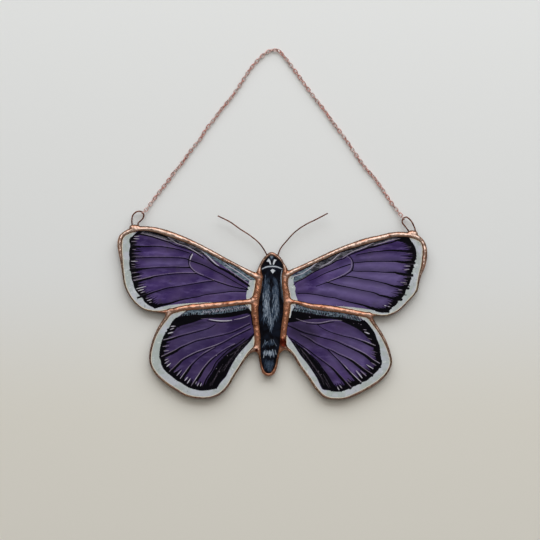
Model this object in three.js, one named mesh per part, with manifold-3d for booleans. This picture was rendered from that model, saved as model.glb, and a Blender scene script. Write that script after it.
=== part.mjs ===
// Butterfly suncatcher: five painted glass panes held in copper-coloured solder beads, with wire antennae,
// two wire hanging loops and a fine cable chain. It lies on its back with the wings spread.
// Millimetres. +X points to the right wing, +Y to the head, +Z out of the painted face.

import * as THREE from 'three';
import { mergeVertices } from 'three/addons/utils/BufferGeometryUtils.js';
import Module from 'manifold-3d';

const wasm = await Module();
wasm.setup();

// Driving dimensions
const WINGSPAN = 170;
const GLASS_THICKNESS = 3;
const BEAD_HEIGHT = 4.8;
const WIRE_DIAMETER = 0.8;
const CHAIN_DIAMETER = 2.2;

// Fits and small sizes
const GLASS_INSET = 0.4;
const GLASS_GAP = 0.25;
const WIRE_GAP = 0.25;
const MIN_BEAD_HALF_WIDTH = 0.65;
const BEAD_SHOULDER = 0.7;
const BEAD_CROWN = 0.45;
const ANTENNA_TIP_RISE = 2.2;
const RIM_STEPS_PER_STATION = 1.5;
const BODY_STEPS_PER_STATION = 2;
const BLOB_SIDES = 10;
const WIRE_SIDES = 6;
const ANTENNA_STEPS = 14;
const LOOP_STEPS = 24;
const CHAIN_SIDES = 8;
const CHAIN_STEPS = 46;

// Outlines are traced on a picture of the front that is 540 pixels wide, and the wingspan sets their scale.
const WINGSPAN_PX = 309.7;
const ORIGIN_PX = [272.31, 305.04];
const MM_PER_PX = WINGSPAN / WINGSPAN_PX;

// Places where beads meet, in pixels
const LEFT_NECK = [259.2, 277.5];
const LEFT_WAIST = [255.4, 301.2];
const LEFT_HIP = [257.5, 346.5];
const LEFT_NOTCH = [170, 311.6];
const RIGHT_NECK = [285.2, 276];
const RIGHT_WAIST = [286.9, 301];
const RIGHT_HIP = [282.6, 345.5];
const RIGHT_NOTCH = [369, 315.2];

// Beads: x and y of the centreline and the half width, in pixels
const LEFT_FOREWING_RIM = [
  [...LEFT_NECK, 3.4], [249, 272.6, 2.7], [241, 268, 1.9], [233, 263.5, 1.7], [225, 259.8, 2.2],
  [210, 251.7, 2.4], [195, 244.1, 2.5], [180, 237.8, 2.9], [167, 233.2, 3.1], [155, 229.9, 2.8],
  [145, 228.7, 2.5], [135, 229.6, 2.4], [126.5, 232.6, 2.3], [121.5, 237, 2.4], [120, 243, 2.5],
  [120.4, 251, 2.1], [121.9, 262, 1.4], [123.4, 274, 1], [125.2, 285, 0.95], [129.5, 294.5, 0.85],
  [136, 303, 0.7], [145, 309.2, 0.65], [156, 311.4, 0.9], [...LEFT_NOTCH, 2.4],
];
const LEFT_MID_SEAM = [
  [...LEFT_WAIST, 2.7], [247, 301.8, 2.8], [235, 302.9, 3], [220, 304.6, 3.2], [205, 306, 3.4],
  [190, 307.2, 3.2], [180, 308.8, 2.9], [...LEFT_NOTCH, 2.6],
];
const LEFT_HINDWING_RIM = [
  [...LEFT_NOTCH, 2.6], [166.3, 318, 1.9], [160.5, 326, 1.6], [155.8, 334.8, 1.3], [152.3, 344.8, 1.15],
  [150.4, 355, 1.1], [151, 364, 1.05], [156.5, 373.7, 1.1], [166.7, 383, 1.1], [176.6, 389.5, 1.1],
  [186.5, 395.1, 1], [198.5, 397.5, 0.8], [210, 397.2, 0.85], [219.7, 393.5, 1], [227.3, 386.3, 1.1],
  [234.1, 375, 1], [242.1, 362.7, 1], [249, 353, 1.4], [...LEFT_HIP, 2.6],
];
const RIGHT_FOREWING_RIM = [
  [...RIGHT_NECK, 3.2], [292.5, 271.7, 2.7], [300, 268.1, 2.3], [312, 262.6, 2.3], [325, 256.6, 2.6],
  [340, 249.8, 2.5], [352, 245.7, 2.9], [365, 241.5, 3.2], [380, 237.9, 2.9], [392, 235, 2.8],
  [405, 234.7, 2.7], [415.5, 236.8, 2.6], [421.5, 241, 2.1], [424.2, 247.3, 2.3], [424.4, 256, 2.7],
  [422.8, 266.3, 2.3], [420, 274.5, 1.5], [418.2, 282, 1.1], [416.4, 290.5, 0.9], [407.5, 301.4, 0.8],
  [397.5, 310.7, 0.75], [386, 315.4, 0.75], [376, 315, 0.95], [...RIGHT_NOTCH, 2.2],
];
const RIGHT_MID_SEAM = [
  [...RIGHT_WAIST, 2.4], [297, 302.3, 2.1], [310, 305.8, 2.9], [320, 307.2, 3.3], [330, 308.4, 3.4],
  [343, 310.3, 3], [356, 312.8, 3], [...RIGHT_NOTCH, 2.8],
];
const RIGHT_HINDWING_RIM = [
  [...RIGHT_NOTCH, 2.6], [373.6, 323.2, 1.8], [379.6, 331.8, 1.6], [385.7, 343.1, 1.5], [389.9, 355.4, 1.2],
  [390.9, 362.5, 1.05], [387.5, 371.5, 1.05], [379, 380.5, 1.15], [367.5, 388, 1.15], [355, 394.3, 1.05],
  [345, 398, 0.9], [334, 398.6, 0.85], [325, 396.6, 1.1], [317, 389.3, 1.2], [309, 377.8, 1.2],
  [300, 365.3, 1.2], [292.5, 353.3, 1.15], [...RIGHT_HIP, 2.4],
];
const BODY_LOOP = [
  [271, 253.8, 1.8], [275.5, 255.4, 1.7], [280.2, 259.2, 1.5], [283.2, 264, 1.3], [285.2, 269.6, 2.6],
  [...RIGHT_NECK, 3.4], [284.9, 285, 3.4], [286.3, 293.5, 3.7], [...RIGHT_WAIST, 3.9], [286.7, 309, 3.8],
  [285.7, 317, 3.6], [283.9, 329, 3.4], [283.2, 338, 3.5], [...RIGHT_HIP, 3.4], [278.8, 353, 1.4],
  [277.2, 360, 1.3], [275.6, 367, 1.6], [272.2, 373, 1.9], [268.5, 374.3, 1.8], [264.4, 372.5, 1.8],
  [261.8, 367, 1.4], [260.2, 359, 1.3], [259.3, 353, 1.7], [...LEFT_HIP, 3.3], [257.6, 339, 3.4],
  [256.3, 326, 3.5], [254.8, 311, 3.9], [...LEFT_WAIST, 4.1], [258, 289, 3.8], [...LEFT_NECK, 3.6],
  [259.4, 271.5, 2.6], [260.3, 266.5, 1.5], [263.3, 260.6, 1.5], [267, 256.3, 1.4],
];

// Blobs of solder where beads meet and where wires are held: x, y and radius, in pixels
const SOLDER_BLOBS = [
  [...LEFT_NOTCH, 3], [...RIGHT_NOTCH, 3], [...LEFT_NECK, 4], [...RIGHT_NECK, 3.8],
  [256.2, 348.3, 3.4], [283.6, 346.3, 3.4],
  [131.8, 227.3, 2.3], [135, 228, 3.6], [138.2, 227.5, 2.2],
  [409.3, 233.2, 2.3], [412, 233.6, 3.4], [415, 233.6, 2.5],
];

// Wires, from the end that is held, in pixels
const LEFT_LOOP_WIRE = [
  [132.6, 228.4], [132, 223.4], [131.9, 219.5], [132.8, 215.3], [135, 212.8], [138.3, 211.3],
  [141.8, 211.9], [143.7, 214.6], [143.4, 217.4], [141.3, 220.2], [138.2, 223.2], [138.4, 228.2],
];
const RIGHT_LOOP_WIRE = [
  [409.3, 233], [408.2, 230.6], [404.8, 226], [402.5, 223], [402.2, 220.6], [403.6, 218.3],
  [406.2, 217.1], [409.3, 219], [411.8, 222], [413.6, 225.5], [414.9, 228.8], [415.6, 233.4],
];
const LEFT_ANTENNA_WIRE = [
  [267.4, 256.2], [264.5, 250.5], [259, 243], [250, 235.5], [240, 229], [230, 222], [218, 216],
];
const RIGHT_ANTENNA_WIRE = [
  [277.4, 256.8], [280.3, 249], [287, 240.5], [295, 232], [305, 225], [315, 220], [327.5, 213.5],
];

// Chain, from the left loop over its top to the right loop, in pixels
const CHAIN_ROUTE = [
  [144.8, 211.2], [150.5, 203.5], [156.7, 195.2], [163, 187], [168.5, 180], [174.6, 171.6], [181, 164],
  [187.4, 155], [193.2, 147], [200, 139], [205, 130.5], [212, 121.5], [221, 109.5], [230.5, 98],
  [237, 89], [243, 80], [248.2, 71.5], [255, 62.8], [263, 54.8], [268, 51], [273.3, 49.5],
  [278.8, 50.6], [284, 56], [292, 66.3], [302, 80.2], [312, 94], [323, 108], [333.5, 122.7],
  [345, 138], [354.5, 152], [365, 167], [374, 177], [382.5, 189], [392, 203.3], [398.6, 212], [402.3, 216.9],
];
const CHAIN_LIFT_LENGTH = 10;
const CHAIN_REST_GAP = 0.06;

const BEAD_MID_HEIGHT = BEAD_HEIGHT / 2;
const WIRE_RADIUS = WIRE_DIAMETER / 2;
const CHAIN_RADIUS = CHAIN_DIAMETER / 2;

// Places

function place([x, y]) {
  return new THREE.Vector2((x - ORIGIN_PX[0]) * MM_PER_PX, (ORIGIN_PX[1] - y) * MM_PER_PX);
}

// Points along a bead, with the half width as the third number
function beadPoints(stations, closed = false) {
  const knots = stations.map(([x, y, halfWidth]) => {
    const spot = place([x, y]);
    return new THREE.Vector3(spot.x, spot.y, Math.max(halfWidth * MM_PER_PX, MIN_BEAD_HALF_WIDTH));
  });
  const curve = new THREE.CatmullRomCurve3(knots, closed, 'centripetal');
  if (closed) {
    return curve.getPoints(BODY_STEPS_PER_STATION * knots.length).slice(0, -1);
  }
  return curve.getPoints(Math.ceil(RIM_STEPS_PER_STATION * (knots.length - 1)));
}

// Solids

const MERGE_DISTANCE = 1e-5;

function asManifold(geometry) {
  const bare = geometry.clone();
  bare.deleteAttribute('normal');
  bare.deleteAttribute('uv');
  const merged = mergeVertices(bare, MERGE_DISTANCE);
  return new wasm.Manifold(new wasm.Mesh({
    numProp: 3,
    vertProperties: merged.attributes.position.array,
    triVerts: new Uint32Array(merged.index.array),
  }));
}

function asGeometry(manifold) {
  const mesh = manifold.getMesh();
  const geometry = new THREE.BufferGeometry();
  geometry.setAttribute('position', new THREE.BufferAttribute(mesh.vertProperties, mesh.numProp));
  geometry.setIndex(new THREE.BufferAttribute(mesh.triVerts, 1));
  geometry.computeVertexNormals();
  return geometry;
}

// Section of a bead, as shares of the half width and heights above the underside
const BEAD_SECTION = [
  [BEAD_CROWN, 0], [1, BEAD_SHOULDER], [1, BEAD_HEIGHT - BEAD_SHOULDER], [BEAD_CROWN, BEAD_HEIGHT],
  [-BEAD_CROWN, BEAD_HEIGHT], [-1, BEAD_HEIGHT - BEAD_SHOULDER], [-1, BEAD_SHOULDER], [-BEAD_CROWN, 0],
];

// A closed body through rings of equal point counts
function loft(rings, closed) {
  const sides = rings[0].length;
  const positions = rings.flat().flatMap((point) => point.toArray());
  const faces = [];
  const spans = closed ? rings.length : rings.length - 1;
  for (let ring = 0; ring < spans; ring += 1) {
    const next = (ring + 1) % rings.length;
    for (let side = 0; side < sides; side += 1) {
      const across = (side + 1) % sides;
      faces.push(ring * sides + side, ring * sides + across, next * sides + across);
      faces.push(ring * sides + side, next * sides + across, next * sides + side);
    }
  }
  if (!closed) {
    const last = (rings.length - 1) * sides;
    for (let side = 1; side < sides - 1; side += 1) {
      faces.push(0, side + 1, side);
      faces.push(last, last + side, last + side + 1);
    }
  }
  const geometry = new THREE.BufferGeometry();
  geometry.setAttribute('position', new THREE.Float32BufferAttribute(positions, 3));
  geometry.setIndex(faces);
  return geometry;
}

function bead(points, closed = false) {
  const count = points.length;
  const rings = points.map((point, index) => {
    const before = points[closed ? (index + count - 1) % count : Math.max(index - 1, 0)];
    const after = points[closed ? (index + 1) % count : Math.min(index + 1, count - 1)];
    const along = new THREE.Vector2(after.x - before.x, after.y - before.y).normalize();
    return BEAD_SECTION.map(([share, height]) => new THREE.Vector3(
      point.x - along.y * share * point.z,
      point.y + along.x * share * point.z,
      height,
    ));
  });
  return asManifold(loft(rings, closed));
}

function solderBlob([x, y, radius]) {
  const reach = radius * MM_PER_PX;
  const profile = [
    [0, 0], [BEAD_CROWN * reach, 0], [reach, BEAD_SHOULDER], [reach, BEAD_HEIGHT - BEAD_SHOULDER],
    [BEAD_CROWN * reach, BEAD_HEIGHT], [0, BEAD_HEIGHT],
  ];
  const blob = new THREE.LatheGeometry(profile.map(([r, z]) => new THREE.Vector2(r, z)), BLOB_SIDES);
  blob.rotateX(Math.PI / 2);
  const spot = place([x, y]);
  blob.translate(spot.x, spot.y, 0);
  return asManifold(blob);
}

function tube(curve, radius, sides, steps) {
  const section = new THREE.Shape();
  for (let side = 0; side < sides; side += 1) {
    const turn = (2 * Math.PI * side) / sides;
    const corner = [radius * Math.cos(turn), radius * Math.sin(turn)];
    if (side === 0) {
      section.moveTo(...corner);
    } else {
      section.lineTo(...corner);
    }
  }
  return new THREE.ExtrudeGeometry(section, { steps, extrudePath: curve, bevelEnabled: false });
}

// Wires keep the middle height of the beads, and the antennae rise towards their tips.
function wireCurve(route, tipRise = 0) {
  const last = route.length - 1;
  return new THREE.CatmullRomCurve3(route.map((spot, index) => {
    const { x, y } = place(spot);
    return new THREE.Vector3(x, y, BEAD_MID_HEIGHT + (tipRise * index) / last);
  }), false, 'centripetal');
}

// The chain lies on the surface and climbs to the wires' height at its two ends.
function chainCurve() {
  const spots = CHAIN_ROUTE.map(place);
  const ends = [spots[0], spots[spots.length - 1]];
  const restHeight = CHAIN_RADIUS + CHAIN_REST_GAP;
  return new THREE.CatmullRomCurve3(spots.map((spot) => {
    const reach = Math.min(spot.distanceTo(ends[0]), spot.distanceTo(ends[1]));
    const lift = Math.max(0, 1 - reach / CHAIN_LIFT_LENGTH) ** 2;
    return new THREE.Vector3(spot.x, spot.y, restHeight + lift * (BEAD_MID_HEIGHT - restHeight));
  }), false, 'centripetal');
}

// Panes

const SHORTEST_PANE_STEP = 0.9;
const SHARPEST_MITRE = 0.4;

// One closed outline from stretches that follow each other, with no doubled corner
function outline(...stretches) {
  const points = [];
  for (const point of stretches.flat()) {
    const spot = new THREE.Vector2(point.x, point.y);
    const last = points[points.length - 1];
    if (!last || last.distanceTo(spot) > SHORTEST_PANE_STEP) {
      points.push(spot);
    }
  }
  if (points[0].distanceTo(points[points.length - 1]) < SHORTEST_PANE_STEP) {
    points.pop();
  }
  return THREE.ShapeUtils.isClockWise(points) ? points.reverse() : points;
}

// The outline moved inwards by a distance, with mitred corners
function inset(points, distance) {
  const count = points.length;
  return points.map((point, index) => {
    const into = point.clone().sub(points[(index + count - 1) % count]).normalize();
    const away = points[(index + 1) % count].clone().sub(point).normalize();
    const normal = new THREE.Vector2(-into.y - away.y, into.x + away.x).normalize();
    const lean = Math.max(normal.dot(new THREE.Vector2(-away.y, away.x)), SHARPEST_MITRE);
    return point.clone().addScaledVector(normal, distance / lean);
  });
}

function slab(points, bottom, top) {
  const geometry = new THREE.ExtrudeGeometry(new THREE.Shape(points), {
    depth: top - bottom,
    bevelEnabled: false,
  });
  return geometry.translate(0, 0, bottom);
}

const GLASS_BOTTOM = (BEAD_HEIGHT - GLASS_THICKNESS) / 2;
const GLASS_TOP = GLASS_BOTTOM + GLASS_THICKNESS;

function pane(paneOutline) {
  return slab(inset(paneOutline, GLASS_INSET), GLASS_BOTTOM, GLASS_TOP);
}

function paneGroove(paneOutline) {
  const edge = inset(paneOutline, GLASS_INSET - GLASS_GAP);
  return asManifold(slab(edge, GLASS_BOTTOM - GLASS_GAP, GLASS_TOP + GLASS_GAP));
}

// The part of the closed body loop that runs forwards between two places
function bodyStretch(points, from, to) {
  const nearest = (spot) => {
    const target = place(spot);
    const distances = points.map((point) => Math.hypot(point.x - target.x, point.y - target.y));
    return distances.indexOf(Math.min(...distances));
  };
  const start = nearest(from);
  const length = (nearest(to) - start + points.length) % points.length;
  return Array.from({ length: length + 1 }, (_, step) => points[(start + step) % points.length]);
}

const beads = {
  leftForewing: beadPoints(LEFT_FOREWING_RIM),
  leftSeam: beadPoints(LEFT_MID_SEAM),
  leftHindwing: beadPoints(LEFT_HINDWING_RIM),
  rightForewing: beadPoints(RIGHT_FOREWING_RIM),
  rightSeam: beadPoints(RIGHT_MID_SEAM),
  rightHindwing: beadPoints(RIGHT_HINDWING_RIM),
};
const bodyPoints = beadPoints(BODY_LOOP, true);

const paneOutlines = {
  glass_forewing_left: outline(
    beads.leftForewing,
    beads.leftSeam.toReversed(),
    bodyStretch(bodyPoints, LEFT_WAIST, LEFT_NECK),
  ),
  glass_hindwing_left: outline(
    beads.leftSeam,
    beads.leftHindwing,
    bodyStretch(bodyPoints, LEFT_HIP, LEFT_WAIST),
  ),
  glass_forewing_right: outline(
    beads.rightForewing,
    beads.rightSeam.toReversed(),
    bodyStretch(bodyPoints, RIGHT_NECK, RIGHT_WAIST).reverse(),
  ),
  glass_hindwing_right: outline(
    beads.rightSeam,
    beads.rightHindwing,
    bodyStretch(bodyPoints, RIGHT_WAIST, RIGHT_HIP).reverse(),
  ),
  glass_body: outline(bodyPoints),
};

const wires = {
  antenna_left: { curve: wireCurve(LEFT_ANTENNA_WIRE, ANTENNA_TIP_RISE), steps: ANTENNA_STEPS },
  antenna_right: { curve: wireCurve(RIGHT_ANTENNA_WIRE, ANTENNA_TIP_RISE), steps: ANTENNA_STEPS },
  loop_left: { curve: wireCurve(LEFT_LOOP_WIRE), steps: LOOP_STEPS },
  loop_right: { curve: wireCurve(RIGHT_LOOP_WIRE), steps: LOOP_STEPS },
};

// All beads and blobs are one piece of solder, grooved for the panes and bored for the wires.
function solderFrame() {
  const solids = [
    ...Object.values(beads).map((points) => bead(points)),
    bead(bodyPoints, true),
    ...SOLDER_BLOBS.map(solderBlob),
  ];
  const cuts = [
    ...Object.values(paneOutlines).map(paneGroove),
    ...Object.values(wires).map(({ curve, steps }) => (
      asManifold(tube(curve, WIRE_RADIUS + WIRE_GAP, WIRE_SIDES, steps))
    )),
  ];
  return asGeometry(wasm.Manifold.union(solids).subtract(wasm.Manifold.union(cuts)));
}

// Materials

const copperSolder = new THREE.MeshStandardMaterial({ color: 0xb8775a, roughness: 0.38, metalness: 0.95 });
const copperWire = new THREE.MeshStandardMaterial({ color: 0x8f5a48, roughness: 0.42, metalness: 0.95 });
const copperChain = new THREE.MeshStandardMaterial({ color: 0x9c6a5c, roughness: 0.45, metalness: 0.95 });
const purpleGlass = new THREE.MeshStandardMaterial({ color: 0x54436f, roughness: 0.16, metalness: 0 });
const bodyGlass = new THREE.MeshStandardMaterial({ color: 0x2a2d38, roughness: 0.2, metalness: 0 });

// The suncatcher

const group = new THREE.Group();

function add(name, geometry, material) {
  const mesh = new THREE.Mesh(geometry, material);
  mesh.name = name;
  group.add(mesh);
}

add('solder_frame', solderFrame(), copperSolder);
for (const [name, paneOutline] of Object.entries(paneOutlines)) {
  add(name, pane(paneOutline), name === 'glass_body' ? bodyGlass : purpleGlass);
}
for (const [name, { curve, steps }] of Object.entries(wires)) {
  add(name, tube(curve, WIRE_RADIUS, WIRE_SIDES, steps), copperWire);
}
add('chain', tube(chainCurve(), CHAIN_RADIUS, CHAIN_SIDES, CHAIN_STEPS), copperChain);

export default group;
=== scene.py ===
import math
import random

import bpy
import numpy as np
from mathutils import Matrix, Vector, noise
from mathutils.geometry import delaunay_2d_cdt


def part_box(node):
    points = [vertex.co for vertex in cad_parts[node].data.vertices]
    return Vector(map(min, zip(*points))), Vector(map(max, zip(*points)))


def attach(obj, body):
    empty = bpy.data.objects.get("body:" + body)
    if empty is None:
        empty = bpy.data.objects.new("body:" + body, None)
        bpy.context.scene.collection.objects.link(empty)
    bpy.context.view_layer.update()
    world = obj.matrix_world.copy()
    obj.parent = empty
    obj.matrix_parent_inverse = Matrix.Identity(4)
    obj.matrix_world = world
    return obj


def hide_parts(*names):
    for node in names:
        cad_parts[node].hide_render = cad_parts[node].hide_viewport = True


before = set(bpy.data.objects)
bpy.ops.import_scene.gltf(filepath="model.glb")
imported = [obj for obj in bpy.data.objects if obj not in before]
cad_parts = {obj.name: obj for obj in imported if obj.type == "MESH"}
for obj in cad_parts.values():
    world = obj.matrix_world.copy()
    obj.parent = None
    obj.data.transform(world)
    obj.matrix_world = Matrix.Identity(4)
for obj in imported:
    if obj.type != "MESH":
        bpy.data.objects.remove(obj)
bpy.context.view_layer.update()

# A butterfly suncatcher of painted glass, seen from straight above as it lies on its back.
# Places are traced in pixels of a picture 540 wide, and the wingspan gives them their real size.
MM = 0.001
WINGSPAN = 170 * MM
WINGSPAN_PX = 309.7
ORIGIN_PX = (272.31, 305.04)
PX = WINGSPAN / WINGSPAN_PX
PICTURE_PX = 540
UP = Vector((0, 0, 1))

GLASS_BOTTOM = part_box("glass_forewing_left")[0].z
GLASS_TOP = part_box("glass_forewing_left")[1].z
BEAD_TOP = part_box("solder_frame")[1].z
BEAD_MID = BEAD_TOP / 2

# Places where beads meet
LEFT_NECK = (259.2, 277.5)
LEFT_WAIST = (255.4, 301.2)
LEFT_HIP = (257.5, 346.5)
LEFT_NOTCH = (170, 311.6)
RIGHT_NECK = (285.2, 276)
RIGHT_WAIST = (286.9, 301)
RIGHT_HIP = (282.6, 345.5)
RIGHT_NOTCH = (369, 315.2)

# Beads: x and y of the centreline and the half width, in pixels
LEFT_FOREWING_RIM = [
    (*LEFT_NECK, 3.4), (249, 272.6, 2.7), (241, 268, 1.9), (233, 263.5, 1.7), (225, 259.8, 2.2),
    (210, 251.7, 2.4), (195, 244.1, 2.5), (180, 237.8, 2.9), (167, 233.2, 3.1), (155, 229.9, 2.8),
    (145, 228.7, 2.5), (135, 229.6, 2.4), (126.5, 232.6, 2.3), (121.5, 237, 2.4), (120, 243, 2.5),
    (120.4, 251, 2.1), (121.9, 262, 1.4), (123.4, 274, 1), (125.2, 285, 0.95), (129.5, 294.5, 0.85),
    (136, 303, 0.7), (145, 309.2, 0.65), (156, 311.4, 0.9), (*LEFT_NOTCH, 2.4),
]
LEFT_MID_SEAM = [
    (*LEFT_WAIST, 2.7), (247, 301.8, 2.8), (235, 302.9, 3), (220, 304.6, 3.2), (205, 306, 3.4),
    (190, 307.2, 3.2), (180, 308.8, 2.9), (*LEFT_NOTCH, 2.6),
]
LEFT_HINDWING_RIM = [
    (*LEFT_NOTCH, 2.6), (166.3, 318, 1.9), (160.5, 326, 1.6), (155.8, 334.8, 1.3), (152.3, 344.8, 1.15),
    (150.4, 355, 1.1), (151, 364, 1.05), (156.5, 373.7, 1.1), (166.7, 383, 1.1), (176.6, 389.5, 1.1),
    (186.5, 395.1, 1), (198.5, 397.5, 0.8), (210, 397.2, 0.85), (219.7, 393.5, 1), (227.3, 386.3, 1.1),
    (234.1, 375, 1), (242.1, 362.7, 1), (249, 353, 1.4), (*LEFT_HIP, 2.6),
]
RIGHT_FOREWING_RIM = [
    (*RIGHT_NECK, 3.2), (292.5, 271.7, 2.7), (300, 268.1, 2.3), (312, 262.6, 2.3), (325, 256.6, 2.6),
    (340, 249.8, 2.5), (352, 245.7, 2.9), (365, 241.5, 3.2), (380, 237.9, 2.9), (392, 235, 2.8),
    (405, 234.7, 2.7), (415.5, 236.8, 2.6), (421.5, 241, 2.1), (424.2, 247.3, 2.3), (424.4, 256, 2.7),
    (422.8, 266.3, 2.3), (420, 274.5, 1.5), (418.2, 282, 1.1), (416.4, 290.5, 0.9), (407.5, 301.4, 0.8),
    (397.5, 310.7, 0.75), (386, 315.4, 0.75), (376, 315, 0.95), (*RIGHT_NOTCH, 2.2),
]
RIGHT_MID_SEAM = [
    (*RIGHT_WAIST, 2.4), (297, 302.3, 2.1), (310, 305.8, 2.9), (320, 307.2, 3.3), (330, 308.4, 3.4),
    (343, 310.3, 3), (356, 312.8, 3), (*RIGHT_NOTCH, 2.8),
]
RIGHT_HINDWING_RIM = [
    (*RIGHT_NOTCH, 2.6), (373.6, 323.2, 1.8), (379.6, 331.8, 1.6), (385.7, 343.1, 1.5), (389.9, 355.4, 1.2),
    (390.9, 362.5, 1.05), (387.5, 371.5, 1.05), (379, 380.5, 1.15), (367.5, 388, 1.15), (355, 394.3, 1.05),
    (345, 398, 0.9), (334, 398.6, 0.85), (325, 396.6, 1.1), (317, 389.3, 1.2), (309, 377.8, 1.2),
    (300, 365.3, 1.2), (292.5, 353.3, 1.15), (*RIGHT_HIP, 2.4),
]
BODY_LOOP = [
    (271, 253.8, 1.8), (275.5, 255.4, 1.7), (280.2, 259.2, 1.5), (283.2, 264, 1.3), (285.2, 269.6, 2.6),
    (*RIGHT_NECK, 3.4), (284.9, 285, 3.4), (286.3, 293.5, 3.7), (*RIGHT_WAIST, 3.9), (286.7, 309, 3.8),
    (285.7, 317, 3.6), (283.9, 329, 3.4), (283.2, 338, 3.5), (*RIGHT_HIP, 3.4), (278.8, 353, 1.4),
    (277.2, 360, 1.3), (275.6, 367, 1.6), (272.2, 373, 1.9), (268.5, 374.3, 1.8), (264.4, 372.5, 1.8),
    (261.8, 367, 1.4), (260.2, 359, 1.3), (259.3, 353, 1.7), (*LEFT_HIP, 3.3), (257.6, 339, 3.4),
    (256.3, 326, 3.5), (254.8, 311, 3.9), (*LEFT_WAIST, 4.1), (258, 289, 3.8), (*LEFT_NECK, 3.6),
    (259.4, 271.5, 2.6), (260.3, 266.5, 1.5), (263.3, 260.6, 1.5), (267, 256.3, 1.4),
]

# Blobs of solder: x, y and radius, in pixels
SOLDER_BLOBS = [
    (*LEFT_NOTCH, 3), (*RIGHT_NOTCH, 3), (*LEFT_NECK, 4), (*RIGHT_NECK, 3.8),
    (253, 300.2, 3.5), (288.8, 300.9, 3.3), (256.2, 348.3, 3.4), (283.6, 346.3, 3.4),
    (131.8, 227.3, 2.3), (135, 228, 3.6), (138.2, 227.5, 2.2),
    (409.3, 233.2, 2.3), (412, 233.6, 3.4), (415, 233.6, 2.5),
]

# Wires, from the end that is held
LEFT_LOOP_WIRE = [
    (132.6, 228.4), (132, 223.4), (131.9, 219.5), (132.8, 215.3), (135, 212.8), (138.3, 211.3),
    (141.8, 211.9), (143.7, 214.6), (143.4, 217.4), (141.3, 220.2), (138.2, 223.2), (138.4, 228.2),
]
RIGHT_LOOP_WIRE = [
    (409.3, 233), (408.2, 230.6), (404.8, 226), (402.5, 223), (402.2, 220.6), (403.6, 218.3),
    (406.2, 217.1), (409.3, 219), (411.8, 222), (413.6, 225.5), (414.9, 228.8), (415.6, 233.4),
]
LEFT_ANTENNA_WIRE = [
    (267.4, 256.2), (264.5, 250.5), (259, 243), (250, 235.5), (240, 229), (230, 222), (218, 216),
]
RIGHT_ANTENNA_WIRE = [
    (277.4, 256.8), (280.3, 249), (287, 240.5), (295, 232), (305, 225), (315, 220), (327.5, 213.5),
]
ANTENNA_TIP_RISE = 2.2 * MM

# Chain, from the left loop over its top to the right loop
CHAIN_ROUTE = [
    (144.8, 211.2), (150.5, 203.5), (156.7, 195.2), (163, 187), (168.5, 180), (174.6, 171.6), (181, 164),
    (187.4, 155), (193.2, 147), (200, 139), (205, 130.5), (212, 121.5), (221, 109.5), (230.5, 98),
    (237, 89), (243, 80), (248.2, 71.5), (255, 62.8), (263, 54.8), (268, 51.1), (273.3, 49.6),
    (278.8, 50.6), (284, 56), (292, 66.3), (302, 80.2), (312, 94), (323, 108), (333.5, 122.7),
    (345, 138), (354.5, 152), (365, 167), (374, 177), (382.5, 189), (392, 203.3), (398.6, 212),
    (402.3, 216.9),
]
CHAIN_LIFT_LENGTH = 10 * MM
LEFT_HOOK = (142.6, 212.9)
RIGHT_HOOK = (403.3, 218.8)

# Curves and places


def place(x, y, z=0.0):
    return Vector(((x - ORIGIN_PX[0]) * PX, (ORIGIN_PX[1] - y) * PX, z))


def placed(spots):
    """Pixel places as rows of x and y in metres. Any further number in a row is a length, also in pixels."""
    rows = np.array(spots, float)
    rows[:, 0] = (rows[:, 0] - ORIGIN_PX[0]) * PX
    rows[:, 1] = (ORIGIN_PX[1] - rows[:, 1]) * PX
    rows[:, 2:] *= PX
    return rows


def curve_through(knots, steps, closed=False):
    """Points on a centripetal Catmull-Rom curve through the knots, with as many steps in each span."""
    knots = np.array(knots, float)
    if closed:
        run = np.vstack([knots[-1], knots, knots[:2]])
    else:
        run = np.vstack([2 * knots[0] - knots[1], knots, 2 * knots[-1] - knots[-2]])
    share = np.linspace(0, 1, steps, endpoint=False)[:, None]
    spans = []
    for before, start, end, after in zip(run, run[1:], run[2:], run[3:]):
        gaps = [math.dist(a[:2], b[:2]) ** 0.5 for a, b in ((before, start), (start, end), (end, after))]
        g0, g1, g2 = (max(gap, 1e-9) for gap in gaps)
        leave = (start - before) / g0 - (end - before) / (g0 + g1) + (end - start) / g1
        arrive = (end - start) / g1 - (after - start) / (g1 + g2) + (after - end) / g2
        leave, arrive = leave * g1, arrive * g1
        spans.append(
            start + leave * share
            + (3 * (end - start) - 2 * leave - arrive) * share ** 2
            + (2 * (start - end) + leave + arrive) * share ** 3
        )
    if not closed:
        spans.append(knots[-1:])
    return np.vstack(spans)


def evenly(line, count):
    """The line's points spread again at equal distances along it."""
    along = np.concatenate([[0], np.cumsum(np.linalg.norm(np.diff(line, axis=0), axis=1))])
    wanted = np.linspace(0, along[-1], count)
    return np.stack([np.interp(wanted, along, line[:, axis]) for axis in range(line.shape[1])], axis=1)


def mesh_object(name, points, faces, smooth=True):
    mesh = bpy.data.meshes.new(name)
    mesh.from_pydata([tuple(point) for point in points], [], faces)
    mesh.validate()
    if smooth:
        mesh.shade_smooth()
    made = bpy.data.objects.new(name, mesh)
    bpy.context.scene.collection.objects.link(made)
    return made


def tube(centres, radii, sides, closed=False):
    """Points and faces of a round tube along a line that is nowhere upright, open or closed to a ring."""
    points, faces = [], []
    count = len(centres)
    for index, spot in enumerate(centres):
        before = centres[index - 1] if index or closed else spot
        after = centres[(index + 1) % count] if index < count - 1 or closed else spot
        along = (after - before).normalized()
        across = UP.cross(along).normalized()
        above = along.cross(across)
        for side in range(sides):
            turn = 2 * math.pi * side / sides
            points.append(spot + radii[index] * (math.cos(turn) * across + math.sin(turn) * above))
    for index in range(count if closed else count - 1):
        here, there = index * sides, (index + 1) % count * sides
        for side in range(sides):
            on = (side + 1) % sides
            faces.append((here + side, here + on, there + on, there + side))
    return points, faces


# Camera

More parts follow.
